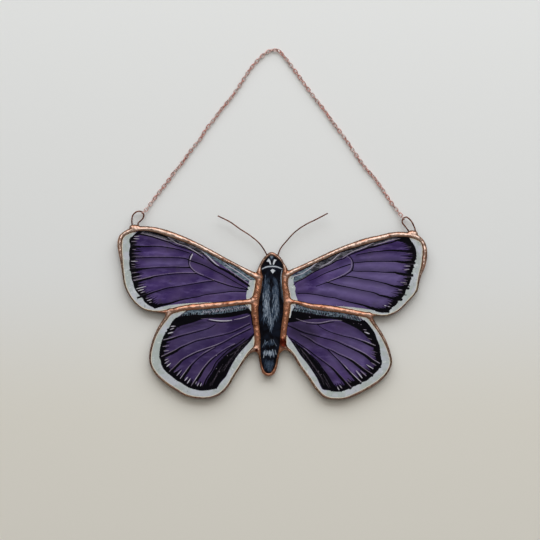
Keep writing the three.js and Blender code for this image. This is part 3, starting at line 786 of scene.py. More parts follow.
LEFT_FOREWING_BORDER = [
    (140, 226), (136.5, 232.2), (132.2, 236.8), (130.2, 240), (131.2, 246), (129.9, 252), (130.6, 258),
    (130, 264), (131, 269), (132, 273), (132.7, 279), (134, 282), (134.7, 286), (137, 291), (141, 295.5),
    (143.7, 298), (144.8, 300.7), (149, 304.5), (153, 306.5), (157, 307.6), (162, 306.8), (170, 305),
    (190, 303.2), (215, 302),
]
LEFT_FOREWING_PAINT = {
    "fringed": (2, 19),
    "border": LEFT_FOREWING_BORDER,
    "outside": [(215, 330), (90, 330), (90, 210), (140, 210)],
    "hem": 2.8,
    "aim": (230, 258),
    "reach": 10.5,
    "teeth": 6.0,
    "fills": [
        ("border", 1.0, 0.9, [
            (249.5, 280), (248.6, 284), (247.7, 288), (246.8, 292), (246.2, 296), (247, 303), (262, 303),
            (262, 280),
        ]),
        ("wash", 0.64, 0.8, [
            (138, 228), (150, 228), (170, 233), (185, 238.5), (198, 244), (212, 250.5), (207, 257),
            (195, 252), (182, 246.5), (170, 242), (160, 239), (148, 236), (139, 235),
        ]),
        ("wash", 0.86, 0.8, [
            (203, 247), (222, 255.5), (240, 265), (258, 276), (254, 284), (243, 279.5), (230, 270.5),
            (221, 264.5), (213, 259.5), (204, 254),
        ]),
        ("ink", 1.0, 0.7, [
            (131.3, 241), (131.5, 237.5), (134.5, 234.5), (138.5, 231.4), (144, 230.6), (141, 233.4),
            (137.5, 235.6), (135, 238), (133.5, 242),
        ]),
        ("dusk", 0.3, 12.0, [(176, 250), (250, 250), (252, 305), (160, 312)]),
        ("bloom", 0.5, 4.0, [(146, 261), (166, 259.5), (188, 261), (191, 266), (168, 265), (148, 266.5)]),
        ("bloom", 0.5, 4.0, [(205, 284), (222, 286.5), (246, 291), (244, 294), (222, 291.5), (206, 290)]),
        ("dusk", 0.5, 4.0, [
            (136, 234), (160, 237), (185, 247), (205, 257), (225, 269), (249, 284), (247, 290), (225, 280),
            (205, 266), (192, 254), (175, 248), (160, 246), (136, 246),
        ]),
        ("dusk", 0.8, 4.0, [
            (186, 254), (196, 256), (210, 262), (226, 273), (248, 287), (238, 285), (218, 275), (200, 266),
            (188, 262),
        ]),
        ("dusk", 0.6, 4.0, [
            (130, 240), (141, 240), (140, 280), (150, 300), (165, 305), (140, 300), (128, 270),
        ]),
    ],
    "lines": [
        ("ink", [(139, 230.7), (150, 231.8), (160, 234.3), (168, 237.2)], (0.3, 0.5, 0.5, 0.3), 1.0),
        ("ink", [
            (139, 234.4), (150, 236.4), (157, 238.5), (163, 240.5), (169, 242.2), (175, 245.2),
            (182, 247.2), (188, 249.1), (194, 251.8), (200, 255.7), (204, 258.3),
        ], (0.5, 0.6, 0.6), 1.0),
        ("ink", [
            (203, 254.4), (208, 258.6), (212, 262.6), (218, 267), (224, 269.8), (232, 274.3), (242, 281),
            (249, 286),
        ], (0.4, 0.6, 0.8, 1.2, 1.3, 1.0), 1.0),
        ("ink", [
            (144, 232.2), (156, 234), (168, 238.2), (180, 243.6), (190, 247.6), (200, 252),
        ], (0.3, 0.5, 0.6, 0.5, 0.3), 1.0),
        ("chalk", [
            (141, 233.2), (147, 234.4), (152, 235.6), (158, 237.3), (165, 239.6), (168.7, 241),
        ], (0.2, 0.34, 0.42, 0.36, 0.2), 0.7),
        ("chalk", [
            (168, 237.3), (172, 240), (177, 243.3), (182, 245), (188, 247), (193, 250), (197.5, 252.7),
            (202.5, 255.8),
        ], (0.2, 0.34, 0.38, 0.46, 0.2), 0.8),
        ("chalk", [
            (201, 250.5), (205, 253.5), (209, 257), (213, 261), (217, 264.5), (219.5, 266),
        ], (0.2, 0.42, 0.62, 0.5, 0.2), 0.95),
        ("chalk", [
            (223, 262), (228, 265.3), (234, 269.2), (240, 273), (247, 278), (252, 281.6),
        ], (0.2, 0.45, 0.5, 0.45, 0.5), 0.9),
        ("chalk", [
            (224, 266.2), (230, 270.2), (236, 274.6), (243, 279.6), (249, 283.8),
        ], (0.25, 0.4, 0.4, 0.35), 0.7),
        ("ink", [
            (192, 252.8), (190, 256), (188.9, 259.8), (188.8, 263), (189.6, 266.5), (192.5, 270),
            (196, 273), (201, 275.5), (207, 277.7), (214, 280.7), (222, 283.4), (230, 286), (238, 287.8),
            (248, 289.6),
        ], (0.45, 0.45, 0.4, 0.5, 0.5, 0.55, 0.6), 1.0),
        ("chalk", [(192.6, 254.2), (191.3, 257), (190.3, 259.6)], (0.5, 0.55, 0.4), 0.95),
        ("chalk", [
            (190.3, 261.3), (189.9, 263.5), (190.8, 266.5), (193.5, 269.5), (198, 272.7), (204, 275.2),
        ], (0.25, 0.35, 0.25), 0.7),
        ("chalk", [(205, 275.5), (213, 279), (222, 282.2), (232, 285.2)], (0.2, 0.28, 0.2), 0.55),
    ],
    "veins": [
        ([
            (132, 247), (138, 246.4), (146, 246.6), (155, 246.3), (163, 246.9), (171, 248.1), (180, 250),
            (190, 253.2),
        ], (1.0, 0.75, 0.5, 0.45, 0.4, 0.4), ABOVE, 0.35, 0.6),
        ([
            (131, 258.2), (139, 258), (150, 257.5), (163, 257.4), (175, 257.7), (186, 258.7), (190, 260.5),
        ], (0.9, 0.45, 0.4, 0.4, 0.45, 0.6), ABOVE, 0.55, 0.45),
        ([
            (190, 260.5), (196, 262.5), (203, 265), (210, 268.3), (216, 271.4), (222, 274.3), (230, 279),
            (238, 283.5), (248, 289),
        ], (0.6, 0.6, 0.5, 0.45, 0.4), ABOVE, 0.3, 0.2),
        ([
            (131, 269.8), (137, 269.3), (144, 268.8), (152, 268), (163, 267.5), (175, 267.1), (184, 267.5),
            (190, 267.3),
        ], (1.3, 1.0, 0.5, 0.4, 0.45, 0.7), ABOVE, 0.4, 0.55),
        ([
            (134, 281.8), (142, 280), (150, 278), (154, 276.9), (163, 275.4), (175, 274), (185, 273.6),
            (196, 273.6),
        ], (1.2, 1.2, 1.0, 0.45, 0.4, 0.4, 0.4), ABOVE, 0.75, 0.65),
        ([
            (138, 297.7), (146, 295.2), (151, 293.2), (158, 291), (167, 288.2), (176, 286.8), (187, 285),
            (197, 283.4), (205, 282), (214, 281),
        ], (1.0, 0.8, 0.5, 0.42, 0.4, 0.4), ABOVE, 0.3, 0.65),
        ([
            (155, 307.3), (163, 304.8), (170, 303.4), (178, 300.7), (190, 298), (198, 296.7), (203, 295.2),
            (210, 294), (222, 292.6), (232, 291.3), (246, 291.6),
        ], (1.4, 0.9, 0.5, 0.42, 0.42, 0.5), BELOW, 0.1, 0.6),
    ],
    "fingers": [
        (130.5, 243.2, 137, 243.4, 0.7), (130.5, 251.3, 144, 251.3, 0.7), (130.5, 254.8, 140, 254.7, 0.5),
        (130.5, 263, 135.8, 263.1, 0.45), (130.5, 265.5, 135.2, 265.5, 0.45), (131, 270.5, 143, 269.3, 0.9),
        (132, 275.2, 145, 273.6, 0.9), (134, 283.8, 143.5, 283.4, 0.6), (136, 287.3, 144, 285.6, 0.5),
        (138, 290, 142.5, 289.2, 0.4), (145, 299.7, 149.5, 298.6, 0.4),
    ],
    "dashes": [
        (134.5, 236.5, 139.5, 236.3, 0.45, 0.85),
        (134, 238.6, 139.5, 239, 0.5, 0.85),
        (131.8, 241.5, 137.5, 241.4, 0.45, 0.75),
        (132.5, 244.4, 139, 244.2, 0.3, 0.45),
        (132.8, 249.5, 136.3, 249.5, 0.5, 0.6),
        (132, 253.3, 144, 253.6, 0.4, 0.45),
        (133, 256.2, 142, 256.2, 0.4, 0.5),
        (131.5, 261.3, 138, 261.2, 0.5, 0.85),
        (131.8, 264.3, 136, 264.5, 0.35, 0.7),
        (132, 266.7, 136, 266.9, 0.35, 0.7),
        (132, 273, 137.5, 272.3, 0.4, 0.75),
        (133, 277.5, 142.5, 275.3, 0.38, 0.75),
        (133, 279.8, 143, 277.6, 0.32, 0.6),
        (138, 285.6, 144, 284.3, 0.35, 0.65),
        (136.7, 288.8, 146.5, 286.3, 0.5, 1.0),
        (138.5, 290.7, 144, 289.2, 0.55, 1.0),
        (141, 292.7, 145, 291.5, 0.45, 0.85),
        (146, 298.4, 148.5, 297.7, 0.45, 0.7),
        (147.5, 300.6, 152, 299.3, 0.5, 0.95),
        (149.5, 302.5, 152, 302, 0.45, 0.85),
    ],
    "combs": [
        ("chalk", 0.8, (225, 266.8), (238, 276.5), 9, (1.2, 1.8), 0.26),
        ("ink", 1.5, (205, 249), (250, 279), 24, (1.6, 1.4), 0.3),
        ("chalk", 0.8, (200, 254), (209, 259), 5, (-0.9, 2.2), 0.28),
    ],
}

RIGHT_FOREWING_BORDER = [
    (400, 229), (406, 236), (409.5, 240.5), (411.7, 243), (414.2, 247), (415.2, 251), (415.6, 255.5),
    (414.7, 259.5), (412.9, 262.5), (412.9, 265), (412.2, 269), (410.6, 273), (410.4, 277), (409.7, 280),
    (408.4, 284), (406.4, 287.2), (405.3, 289), (404.1, 293.5), (401, 297.5), (398, 299.3), (397, 302),
    (394.7, 305), (391.3, 307), (389.5, 309.3), (386.5, 311.4), (381, 311.9), (375, 310.5), (366, 309),
    (356, 307.6), (346, 306.6), (338, 306.3), (330, 306.6),
]
RIGHT_FOREWING_PAINT = {
    "fringed": (2, 26),
    "border": RIGHT_FOREWING_BORDER,
    "outside": [(330, 335), (450, 335), (450, 215), (400, 215)],
    "hem": 2.1,
    "aim": (300, 268),
    "reach": 10.0,
    "teeth": 5.4,
    "fills": [
        ("border", 1.0, 0.9, [
            (285, 276), (294, 276.5), (293.2, 281), (294, 284.5), (295.6, 288), (294.9, 291.5),
            (296, 295.5), (297.5, 300), (299, 306), (285, 306),
        ]),
        ("wash", 0.68, 0.8, [
            (288, 277), (300, 271), (312, 264.5), (325, 257.5), (340, 250.5), (355, 245.5), (370, 241.5),
            (385, 237.8), (400, 235.8), (399, 239), (388, 241.5), (376, 245.5), (366, 248), (356, 251.5),
            (348, 255), (340, 259), (330, 264.5), (320, 269), (311, 274), (303, 279), (296, 282),
            (291, 284),
        ]),
        ("wash", 0.88, 0.8, [
            (288, 277), (300, 271), (311, 265.5), (312, 272), (303, 278), (296, 281.5), (291, 284),
        ]),
        ("ink", 1.0, 0.7, [
            (392, 239.8), (400, 236), (408, 235.6), (410.6, 240.6), (412.5, 243.5), (415, 248),
            (415.5, 252), (411.5, 250), (409, 246), (405.5, 242.8), (400, 241.8),
        ]),
        ("bloom", 0.7, 7.0, [
            (332, 268), (352, 261), (376, 256), (402, 256), (405, 276), (397, 296), (384, 307), (352, 301),
            (318, 294), (320, 285), (342, 277),
        ]),
        ("bloom", 0.9, 5.0, [(300, 297), (316, 296), (340, 301), (352, 305), (330, 305), (304, 303)]),
        ("dusk", 0.55, 3.0, [
            (296, 286), (312, 275), (330, 266), (348, 257), (370, 249), (392, 243), (408, 243), (410, 249),
            (390, 248), (370, 252), (354, 258), (342, 265), (322, 274), (300, 287),
        ]),
        ("dusk", 0.35, 5.0, [(296, 283), (320, 276), (312, 287), (298, 290)]),
        ("dusk", 0.5, 3.0, [
            (404, 240), (420, 260), (416, 280), (404, 300), (390, 312), (398, 296), (404, 276), (406, 256),
        ]),
    ],
    "lines": [
        ("ink", [
            (293.5, 285), (297, 281.6), (301, 279.9), (306, 277.1), (312, 273.2), (320, 269.2),
            (325, 266.9), (331, 264.2), (337, 260.6), (342, 259.2), (349, 255.3), (355, 252.7),
            (362, 250.2), (368, 248), (374, 246.8), (384, 244.1), (392, 242.3), (398, 240.2), (403, 239),
        ], (0.4, 0.5, 0.5, 0.5, 0.5, 0.7, 0.9, 0.7, 0.6), 1.0),
        ("ink", [
            (297, 271.8), (312, 265.4), (326, 258.8), (341, 252.2), (356, 247.6), (372, 242.8),
            (388, 239.4),
        ], (0.3, 0.5, 0.4, 0.5, 0.4, 0.3), 1.0),
        ("chalk", [
            (291, 277.6), (296, 275.6), (302, 273.6), (307, 270.7), (311, 267.6), (315, 264.2),
            (318.5, 262.2),
        ], (0.3, 0.44, 0.44, 0.52, 0.5, 0.25), 0.9),
        ("chalk", [
            (320, 267.5), (322, 266.2), (327, 264), (332, 260.6), (337, 256), (341, 252.6),
        ], (0.2, 0.38, 0.46, 0.46, 0.2), 0.85),
        ("chalk", [
            (342, 258.3), (346, 255.6), (350, 253), (355, 250.7), (360, 249), (365, 247), (369, 245),
            (373, 243),
        ], (0.2, 0.36, 0.4, 0.4, 0.48, 0.25), 0.8),
        ("chalk", [
            (374, 245.4), (378, 243.9), (382, 242.9), (388, 241), (394, 239.5), (400, 238.4),
        ], (0.25, 0.42, 0.46, 0.46, 0.2), 0.75),
        ("chalk", [(288.2, 277.5), (288.6, 284), (289.8, 290), (291.5, 296)], (0.3, 0.4, 0.35), 0.8),
        ("ink", [
            (349.5, 256), (352.3, 260), (353.1, 264), (352.8, 268), (351.3, 271), (347, 274), (343, 276.4),
            (338, 278.4), (330, 281.2), (322, 284.2), (316, 286.2),
        ], (0.4, 0.5, 0.7, 0.55, 0.5, 0.4, 0.3), 1.0),
        ("chalk", [
            (346.5, 256.2), (350, 258.7), (351.4, 261.5), (351.7, 264.5), (350.8, 268.3), (348.6, 271),
            (343, 274.6), (336, 277.8), (329, 280.6),
        ], (0.2, 0.28, 0.34, 0.32, 0.3, 0.25), 0.7),
        ("ink", [
            (350, 264.3), (343, 266.6), (336, 269.1), (329, 271.7), (322, 274.7), (316, 278), (309, 281),
        ], (0.55, 0.5, 0.45, 0.35, 0.2), 1.0),
    ],
    "veins": [
        ([
            (415, 251.3), (405, 251.1), (398, 250.7), (392, 250.3), (386, 250.6), (380, 251.4),
            (374, 251.8), (368, 252.8), (362, 253.8), (356, 255.2),
        ], (1.2, 0.9, 0.6, 0.45, 0.4, 0.35), ABOVE, 0.1, 0.5),
        ([
            (414, 263), (406, 262.6), (399, 261.9), (396.5, 261.5), (388, 261.3), (375, 261.4),
            (368, 261.6), (360, 262.3), (353.5, 262.9),
        ], (1.4, 1.2, 0.9, 0.4, 0.42, 0.45, 0.4), BELOW, 0.45, 0.3),
        ([
            (412, 275.4), (404, 274.4), (397.5, 273.3), (395, 272.5), (385, 272.3), (376, 271.7),
            (366, 271.2), (358, 271.4), (352, 270.8),
        ], (1.4, 1.3, 1.0, 0.4, 0.42, 0.42, 0.35), BELOW, 0.5, 0.2),
        ([
            (408, 288.4), (401, 287.8), (396, 286.7), (391, 285.4), (386.5, 283.8), (380, 282.2),
            (370, 280), (363, 279), (356, 277.6), (350, 276.6), (342, 276),
        ], (1.2, 1.0, 0.8, 0.42, 0.45, 0.5, 0.4), ABOVE, 0.1, 0.35),
        ([
            (401, 299.6), (394, 298.8), (388, 297.2), (383, 295.9), (379, 295), (376, 293.5), (370, 291.8),
            (362, 290.3), (354, 288.5), (347, 287), (337, 285), (330, 283), (326.5, 282.2),
        ], (1.4, 1.1, 0.8, 0.42, 0.42, 0.5, 0.5), ABOVE, 0.0, 0.75),
        ([
            (388, 311.4), (380, 310.8), (374, 309), (368, 307), (364, 305.4), (357, 303.7), (348, 301.7),
            (340, 299.5), (334, 297.6), (327, 296.8), (320, 295.3), (313, 294.2), (305, 293.3),
            (297.5, 293.5),
        ], (1.4, 1.2, 0.8, 0.45, 0.42, 0.42, 0.4), BELOW, 0.0, 0.5),
    ],
    "fingers": [
        (414, 256.3, 400, 255.7, 0.8), (413.5, 267.4, 402, 267.3, 0.7), (411, 279, 403, 278.5, 0.6),
        (404, 291.4, 392, 291.2, 0.5), (397, 303, 391, 301.6, 0.5), (394, 306, 388.5, 304.6, 0.5),
        (391, 308.5, 385, 307.4, 0.6), (416, 259, 407, 258.7, 0.6), (412, 271.5, 405, 271.6, 0.5),
        (409.5, 286, 402, 285.6, 0.5), (406, 295, 398, 294.4, 0.5),
    ],
    "dashes": [
        (411, 247, 406.5, 247, 0.5, 0.45),
        (412, 253.5, 405, 253.2, 0.5, 0.45),
        (409, 257.4, 400, 257.5, 0.4, 0.5),
        (411, 260.1, 402, 259.8, 0.5, 0.5),
        (410, 266.1, 404, 266, 0.42, 0.9),
        (409, 269.2, 403.5, 270, 0.55, 0.8),
        (410, 277.4, 404, 277, 0.5, 0.35),
        (407.5, 280.6, 403, 280.2, 0.4, 0.55),
        (406.5, 283, 400, 282.1, 0.5, 0.75),
        (407, 284.5, 403, 284.4, 0.32, 0.6),
        (402, 290, 398, 289.8, 0.5, 0.75),
        (402, 293.3, 396.5, 292.6, 0.35, 0.45),
        (391, 304.4, 388, 303, 0.42, 0.65),
        (386, 305.9, 384, 305.5, 0.55, 0.95),
        (389.8, 306.7, 387.2, 306.3, 0.45, 0.85),
    ],
    "combs": [
        ("chalk", 0.8, (334, 306.5), (366, 309.5), 14, (-0.4, -2.2), 0.34),
        ("ink", 1.5, (292, 278), (340, 256), 20, (1.6, -1.0), 0.3),
    ],
}

LEFT_HINDWING_BORDER = [
    (192, 306), (184, 312.5), (177.3, 317.5), (173, 322), (170, 327.5), (167, 332.5), (165, 335.2),
    (163.2, 339.5), (161.5, 345), (160.5, 351), (160.2, 357), (161.5, 360), (162.1, 364), (164, 368),
    (167, 371.5), (171, 374.7), (175, 378), (178.5, 380.4), (182, 382.2), (186, 385), (190, 387),
    (195, 388.6), (200, 389.7), (206, 389.5), (212, 388.6), (217.5, 387.3), (219.5, 384), (222, 381),
    (226, 376.5), (229, 370.5), (232, 364.5), (236, 358), (240, 352.5), (245, 347), (250, 341.5),
    (254.5, 335), (258, 330),
]
LEFT_HINDWING_PAINT = {
    "fringed": (2, 25),
    "border": LEFT_HINDWING_BORDER,
    "outside": [(275, 350), (250, 420), (130, 420), (130, 300), (185, 300)],
    "hem": 3.4,
    "aim": (222, 335),
    "reach": 7.5,
    "teeth": 4.6,
    "fills": [
        ("border", 1.0, 0.8, [
            (245, 301), (258, 301), (256, 309), (253.4, 317), (251.4, 311.5), (248, 307.4), (245, 305),
        ]),
        ("wash", 0.9, 1.5, [
            (178, 316.8), (186, 311), (196, 306), (210, 304), (225, 303), (240, 301), (254, 300),
            (254, 305), (249.5, 308.5), (244, 311.4), (238, 311.8), (234, 314), (229, 313.4), (224, 315.6),
            (219, 314.2), (214, 315.9), (208, 314.4), (202, 316), (195, 315), (188, 316.6), (182, 316.4),
        ]),
        ("ink", 1.0, 1.3, [
            (177, 317.3), (184, 315.8), (192, 315), (200, 314.6), (207, 314.2), (214, 314.2), (222, 313.4),
            (229, 312.4), (236, 311.2), (243, 310), (249, 308.6), (252.5, 313), (253.5, 325), (252, 325),
            (250.7, 314.5), (247, 313.4), (240, 315), (233, 316.6), (226, 317.6), (219, 318), (212, 318),
            (205, 318.2), (200, 320), (194, 322.3), (188, 324), (182, 325.5), (177.5, 327.5), (174, 331),
            (170, 334), (166, 335),
        ]),
        ("ink", 0.9, 2.4, [
            (203, 389), (207.5, 379), (213, 370.5), (218, 362.5), (223.5, 356.5), (230, 351), (238, 345.5),
            (247, 339), (256, 331), *reversed(LEFT_HINDWING_BORDER[24:-1]),
        ]),
        ("dusk", 0.58, 10.0, [(150, 300), (270, 295), (262, 345), (215, 400), (150, 380)]),
        ("dusk", 0.62, 8.0, [(214, 318), (256, 312), (256, 334), (232, 342), (212, 338)]),
        ("bloom", 0.45, 5.0, [
            (182, 331), (198, 327), (214, 325), (216, 334), (200, 345), (184, 353), (178, 344),
        ]),
        ("dusk", 1.0, 4.0, [
            (168, 336), (176, 327), (186, 323), (200, 319), (216, 319), (208, 325), (195, 328), (183, 331),
            (172, 339),
        ]),
        ("dusk", 0.9, 5.0, [(254, 310), (236, 316), (222, 320), (230, 328), (252, 326)]),
        ("dusk", 0.9, 5.0, [
            (258, 328), (236, 338), (222, 350), (212, 364), (204, 384), (214, 389), (240, 352),
        ]),
        ("dusk", 0.6, 4.0, [
            (160, 338), (172, 340), (176, 352), (182, 362), (192, 374), (204, 388), (180, 382), (162, 366),
        ]),
    ],
    "lines": [
        ("ink", [(207, 320.6), (214, 321.5), (222, 322.1), (231, 321.7)], (0.3, 0.5, 0.5, 0.25), 1.0),
        ("chalk", [(201, 318.4), (208, 318.8)], (0.2, 0.3), 0.55),
        ("chalk", [
            (209, 319.2), (214, 320.1), (220, 320.7), (227, 320.7), (232, 320.1),
        ], (0.3, 0.45, 0.55, 0.5, 0.3), 0.95),
        ("chalk", [(234, 319.6), (241, 318.2), (246, 316.6), (249.5, 315.2)], (0.25, 0.4, 0.4, 0.3), 0.75),
        ("chalk", [(230, 355), (234.5, 352.2), (239, 350)], (0.4, 0.8, 0.4), 0.3),
        ("chalk", [(236, 349), (242, 344.5), (248, 340.5)], (0.4, 0.8, 0.4), 0.3),
        ("chalk", [(224, 371), (229, 362), (235, 354)], (0.4, 0.8, 0.4), 0.3),
        ("chalk", [(212, 385), (217, 374), (223, 364)], (0.4, 0.8, 0.4), 0.3),
    ],
    "veins": [
        ([
            (163.5, 341.3), (172, 339), (180, 336.3), (190, 333.7), (200, 331), (207, 328.9), (212, 326.6),
            (215.5, 324.2),
        ], (1.4, 0.9, 0.5, 0.45, 0.42, 0.3), (0, -1.5), 1.0, 0.1),
        ([
            (162, 357.6), (170, 353.8), (176.5, 350.6), (180, 348.2), (188, 344.6), (196, 341.2),
            (206, 338.8), (217, 336.4), (226, 334.3), (232, 332.7), (240, 329.2), (250, 324.3),
        ], (1.6, 1.5, 0.6, 0.45, 0.45, 0.45, 0.5), (-0.3, -1.4), 0.9, 0.6),
        ([
            (170, 372.4), (175.5, 367.2), (179.5, 363.2), (182, 360.8), (188, 357.2), (197, 352.8),
            (206, 349.6), (217, 345.8), (225, 342), (233, 337.5), (241, 333.5), (251, 328.5),
        ], (1.6, 1.5, 0.6, 0.45, 0.45, 0.45, 0.5), (-0.4, -1.3), 0.8, 0.7),
        ([
            (181.5, 379.3), (186, 373), (189.7, 368), (192, 365), (197, 359.8), (204, 354.2), (211, 350.2),
            (216, 347.5),
        ], (1.6, 1.5, 0.7, 0.42, 0.4, 0.3), (-1.1, -0.9), 0.95, 0.6),
        ([
            (192.5, 386.3), (197, 379.5), (201, 373.5), (204, 369), (211, 360.8), (218, 355), (224, 350.6),
            (232, 346.3), (236, 344.3),
        ], (1.9, 1.7, 0.8, 0.42, 0.4, 0.3), (-1.2, -0.8), 0.95, 0.7),
        ([
            (203, 387), (207, 378), (212, 370.5), (216, 362.5), (221, 357), (228, 350.3), (236, 345),
            (245, 338.5),
        ], (0.9, 0.6, 0.5, 0.5, 0.4), ABOVE_LEFT, 0.3, 0.3),
    ],
    "fingers": [
        (164, 344.5, 171, 342.5, 0.8), (162, 349, 170, 347, 0.9), (163, 353, 170, 351.5, 0.7),
        (163, 362, 169, 359.2, 0.7), (165, 366.5, 171, 361.8, 0.7), (173, 375.5, 181.5, 368.5, 0.9),
        (176.5, 377.5, 183, 370.5, 0.8), (186, 384, 190.5, 376, 0.9), (189.5, 386, 193, 378, 0.9),
        (198, 388.5, 201, 380.5, 0.9), (202, 389, 204.5, 382, 0.9), (168, 329.5, 177, 327.5, 1.0),
        (166, 333, 176, 330, 1.0), (165, 337, 174, 334.5, 1.0),
    ],
    "dashes": [
        (171, 326.4, 175.8, 326, 0.5, 1.0),
        (170.5, 329.5, 174.2, 327.9, 0.55, 0.85),
        (168.4, 333.4, 173.3, 332, 0.7, 1.0),
        (163, 346.4, 169.3, 345.4, 0.5, 0.7),
        (164, 350.9, 169, 350.3, 0.45, 0.8),
        (165, 360.1, 168.5, 358.6, 0.5, 0.85),
        (165, 363.3, 169.3, 360.4, 0.5, 0.85),
        (167, 366.2, 171, 363, 0.65, 1.0),
        (174, 372.4, 179.5, 368.6, 0.5, 0.5),
        (177, 375.4, 181.5, 370.2, 0.5, 0.85),
        (185, 380.3, 188, 376.7, 0.6, 1.0),
        (187.5, 383, 190.6, 378.3, 0.6, 1.0),
        (195.5, 383.7, 197, 381, 0.45, 0.75),
        (197.5, 385.6, 199.2, 382.3, 0.5, 0.9),
        (200.5, 385.8, 201.6, 383, 0.5, 0.95),
        (216.3, 355.2, 216.8, 355, 0.5, 0.8),
        (216.4, 368.3, 216.7, 368.7, 0.4, 0.8),
        (219.3, 371.4, 219.7, 371.8, 0.4, 0.7),
        (227.3, 355.3, 227.7, 355.7, 0.5, 0.7),
    ],
    "combs": [
        ("ink", 1.5, (182, 314.6), (250, 307.2), 42, (-0.9, 2.8), 0.4),
        ("ink", 1.5, (204, 310.5), (250, 304.5), 18, (1.5, 2.2), 0.28),
        ("chalk", 1.0, (203, 311.4), (251, 305.4), 22, (1.3, 2.2), 0.34),
        ("chalk", 0.9, (203, 313.4), (251, 307), 20, (1.4, -2.0), 0.28),
        ("chalk", 0.42, (242, 344.5), (210, 384), 26, (-3.0, 4.8), 0.3),
        ("chalk", 0.34, (250, 338), (222, 372), 20, (-3.4, 4.4), 0.3),
    ],
}

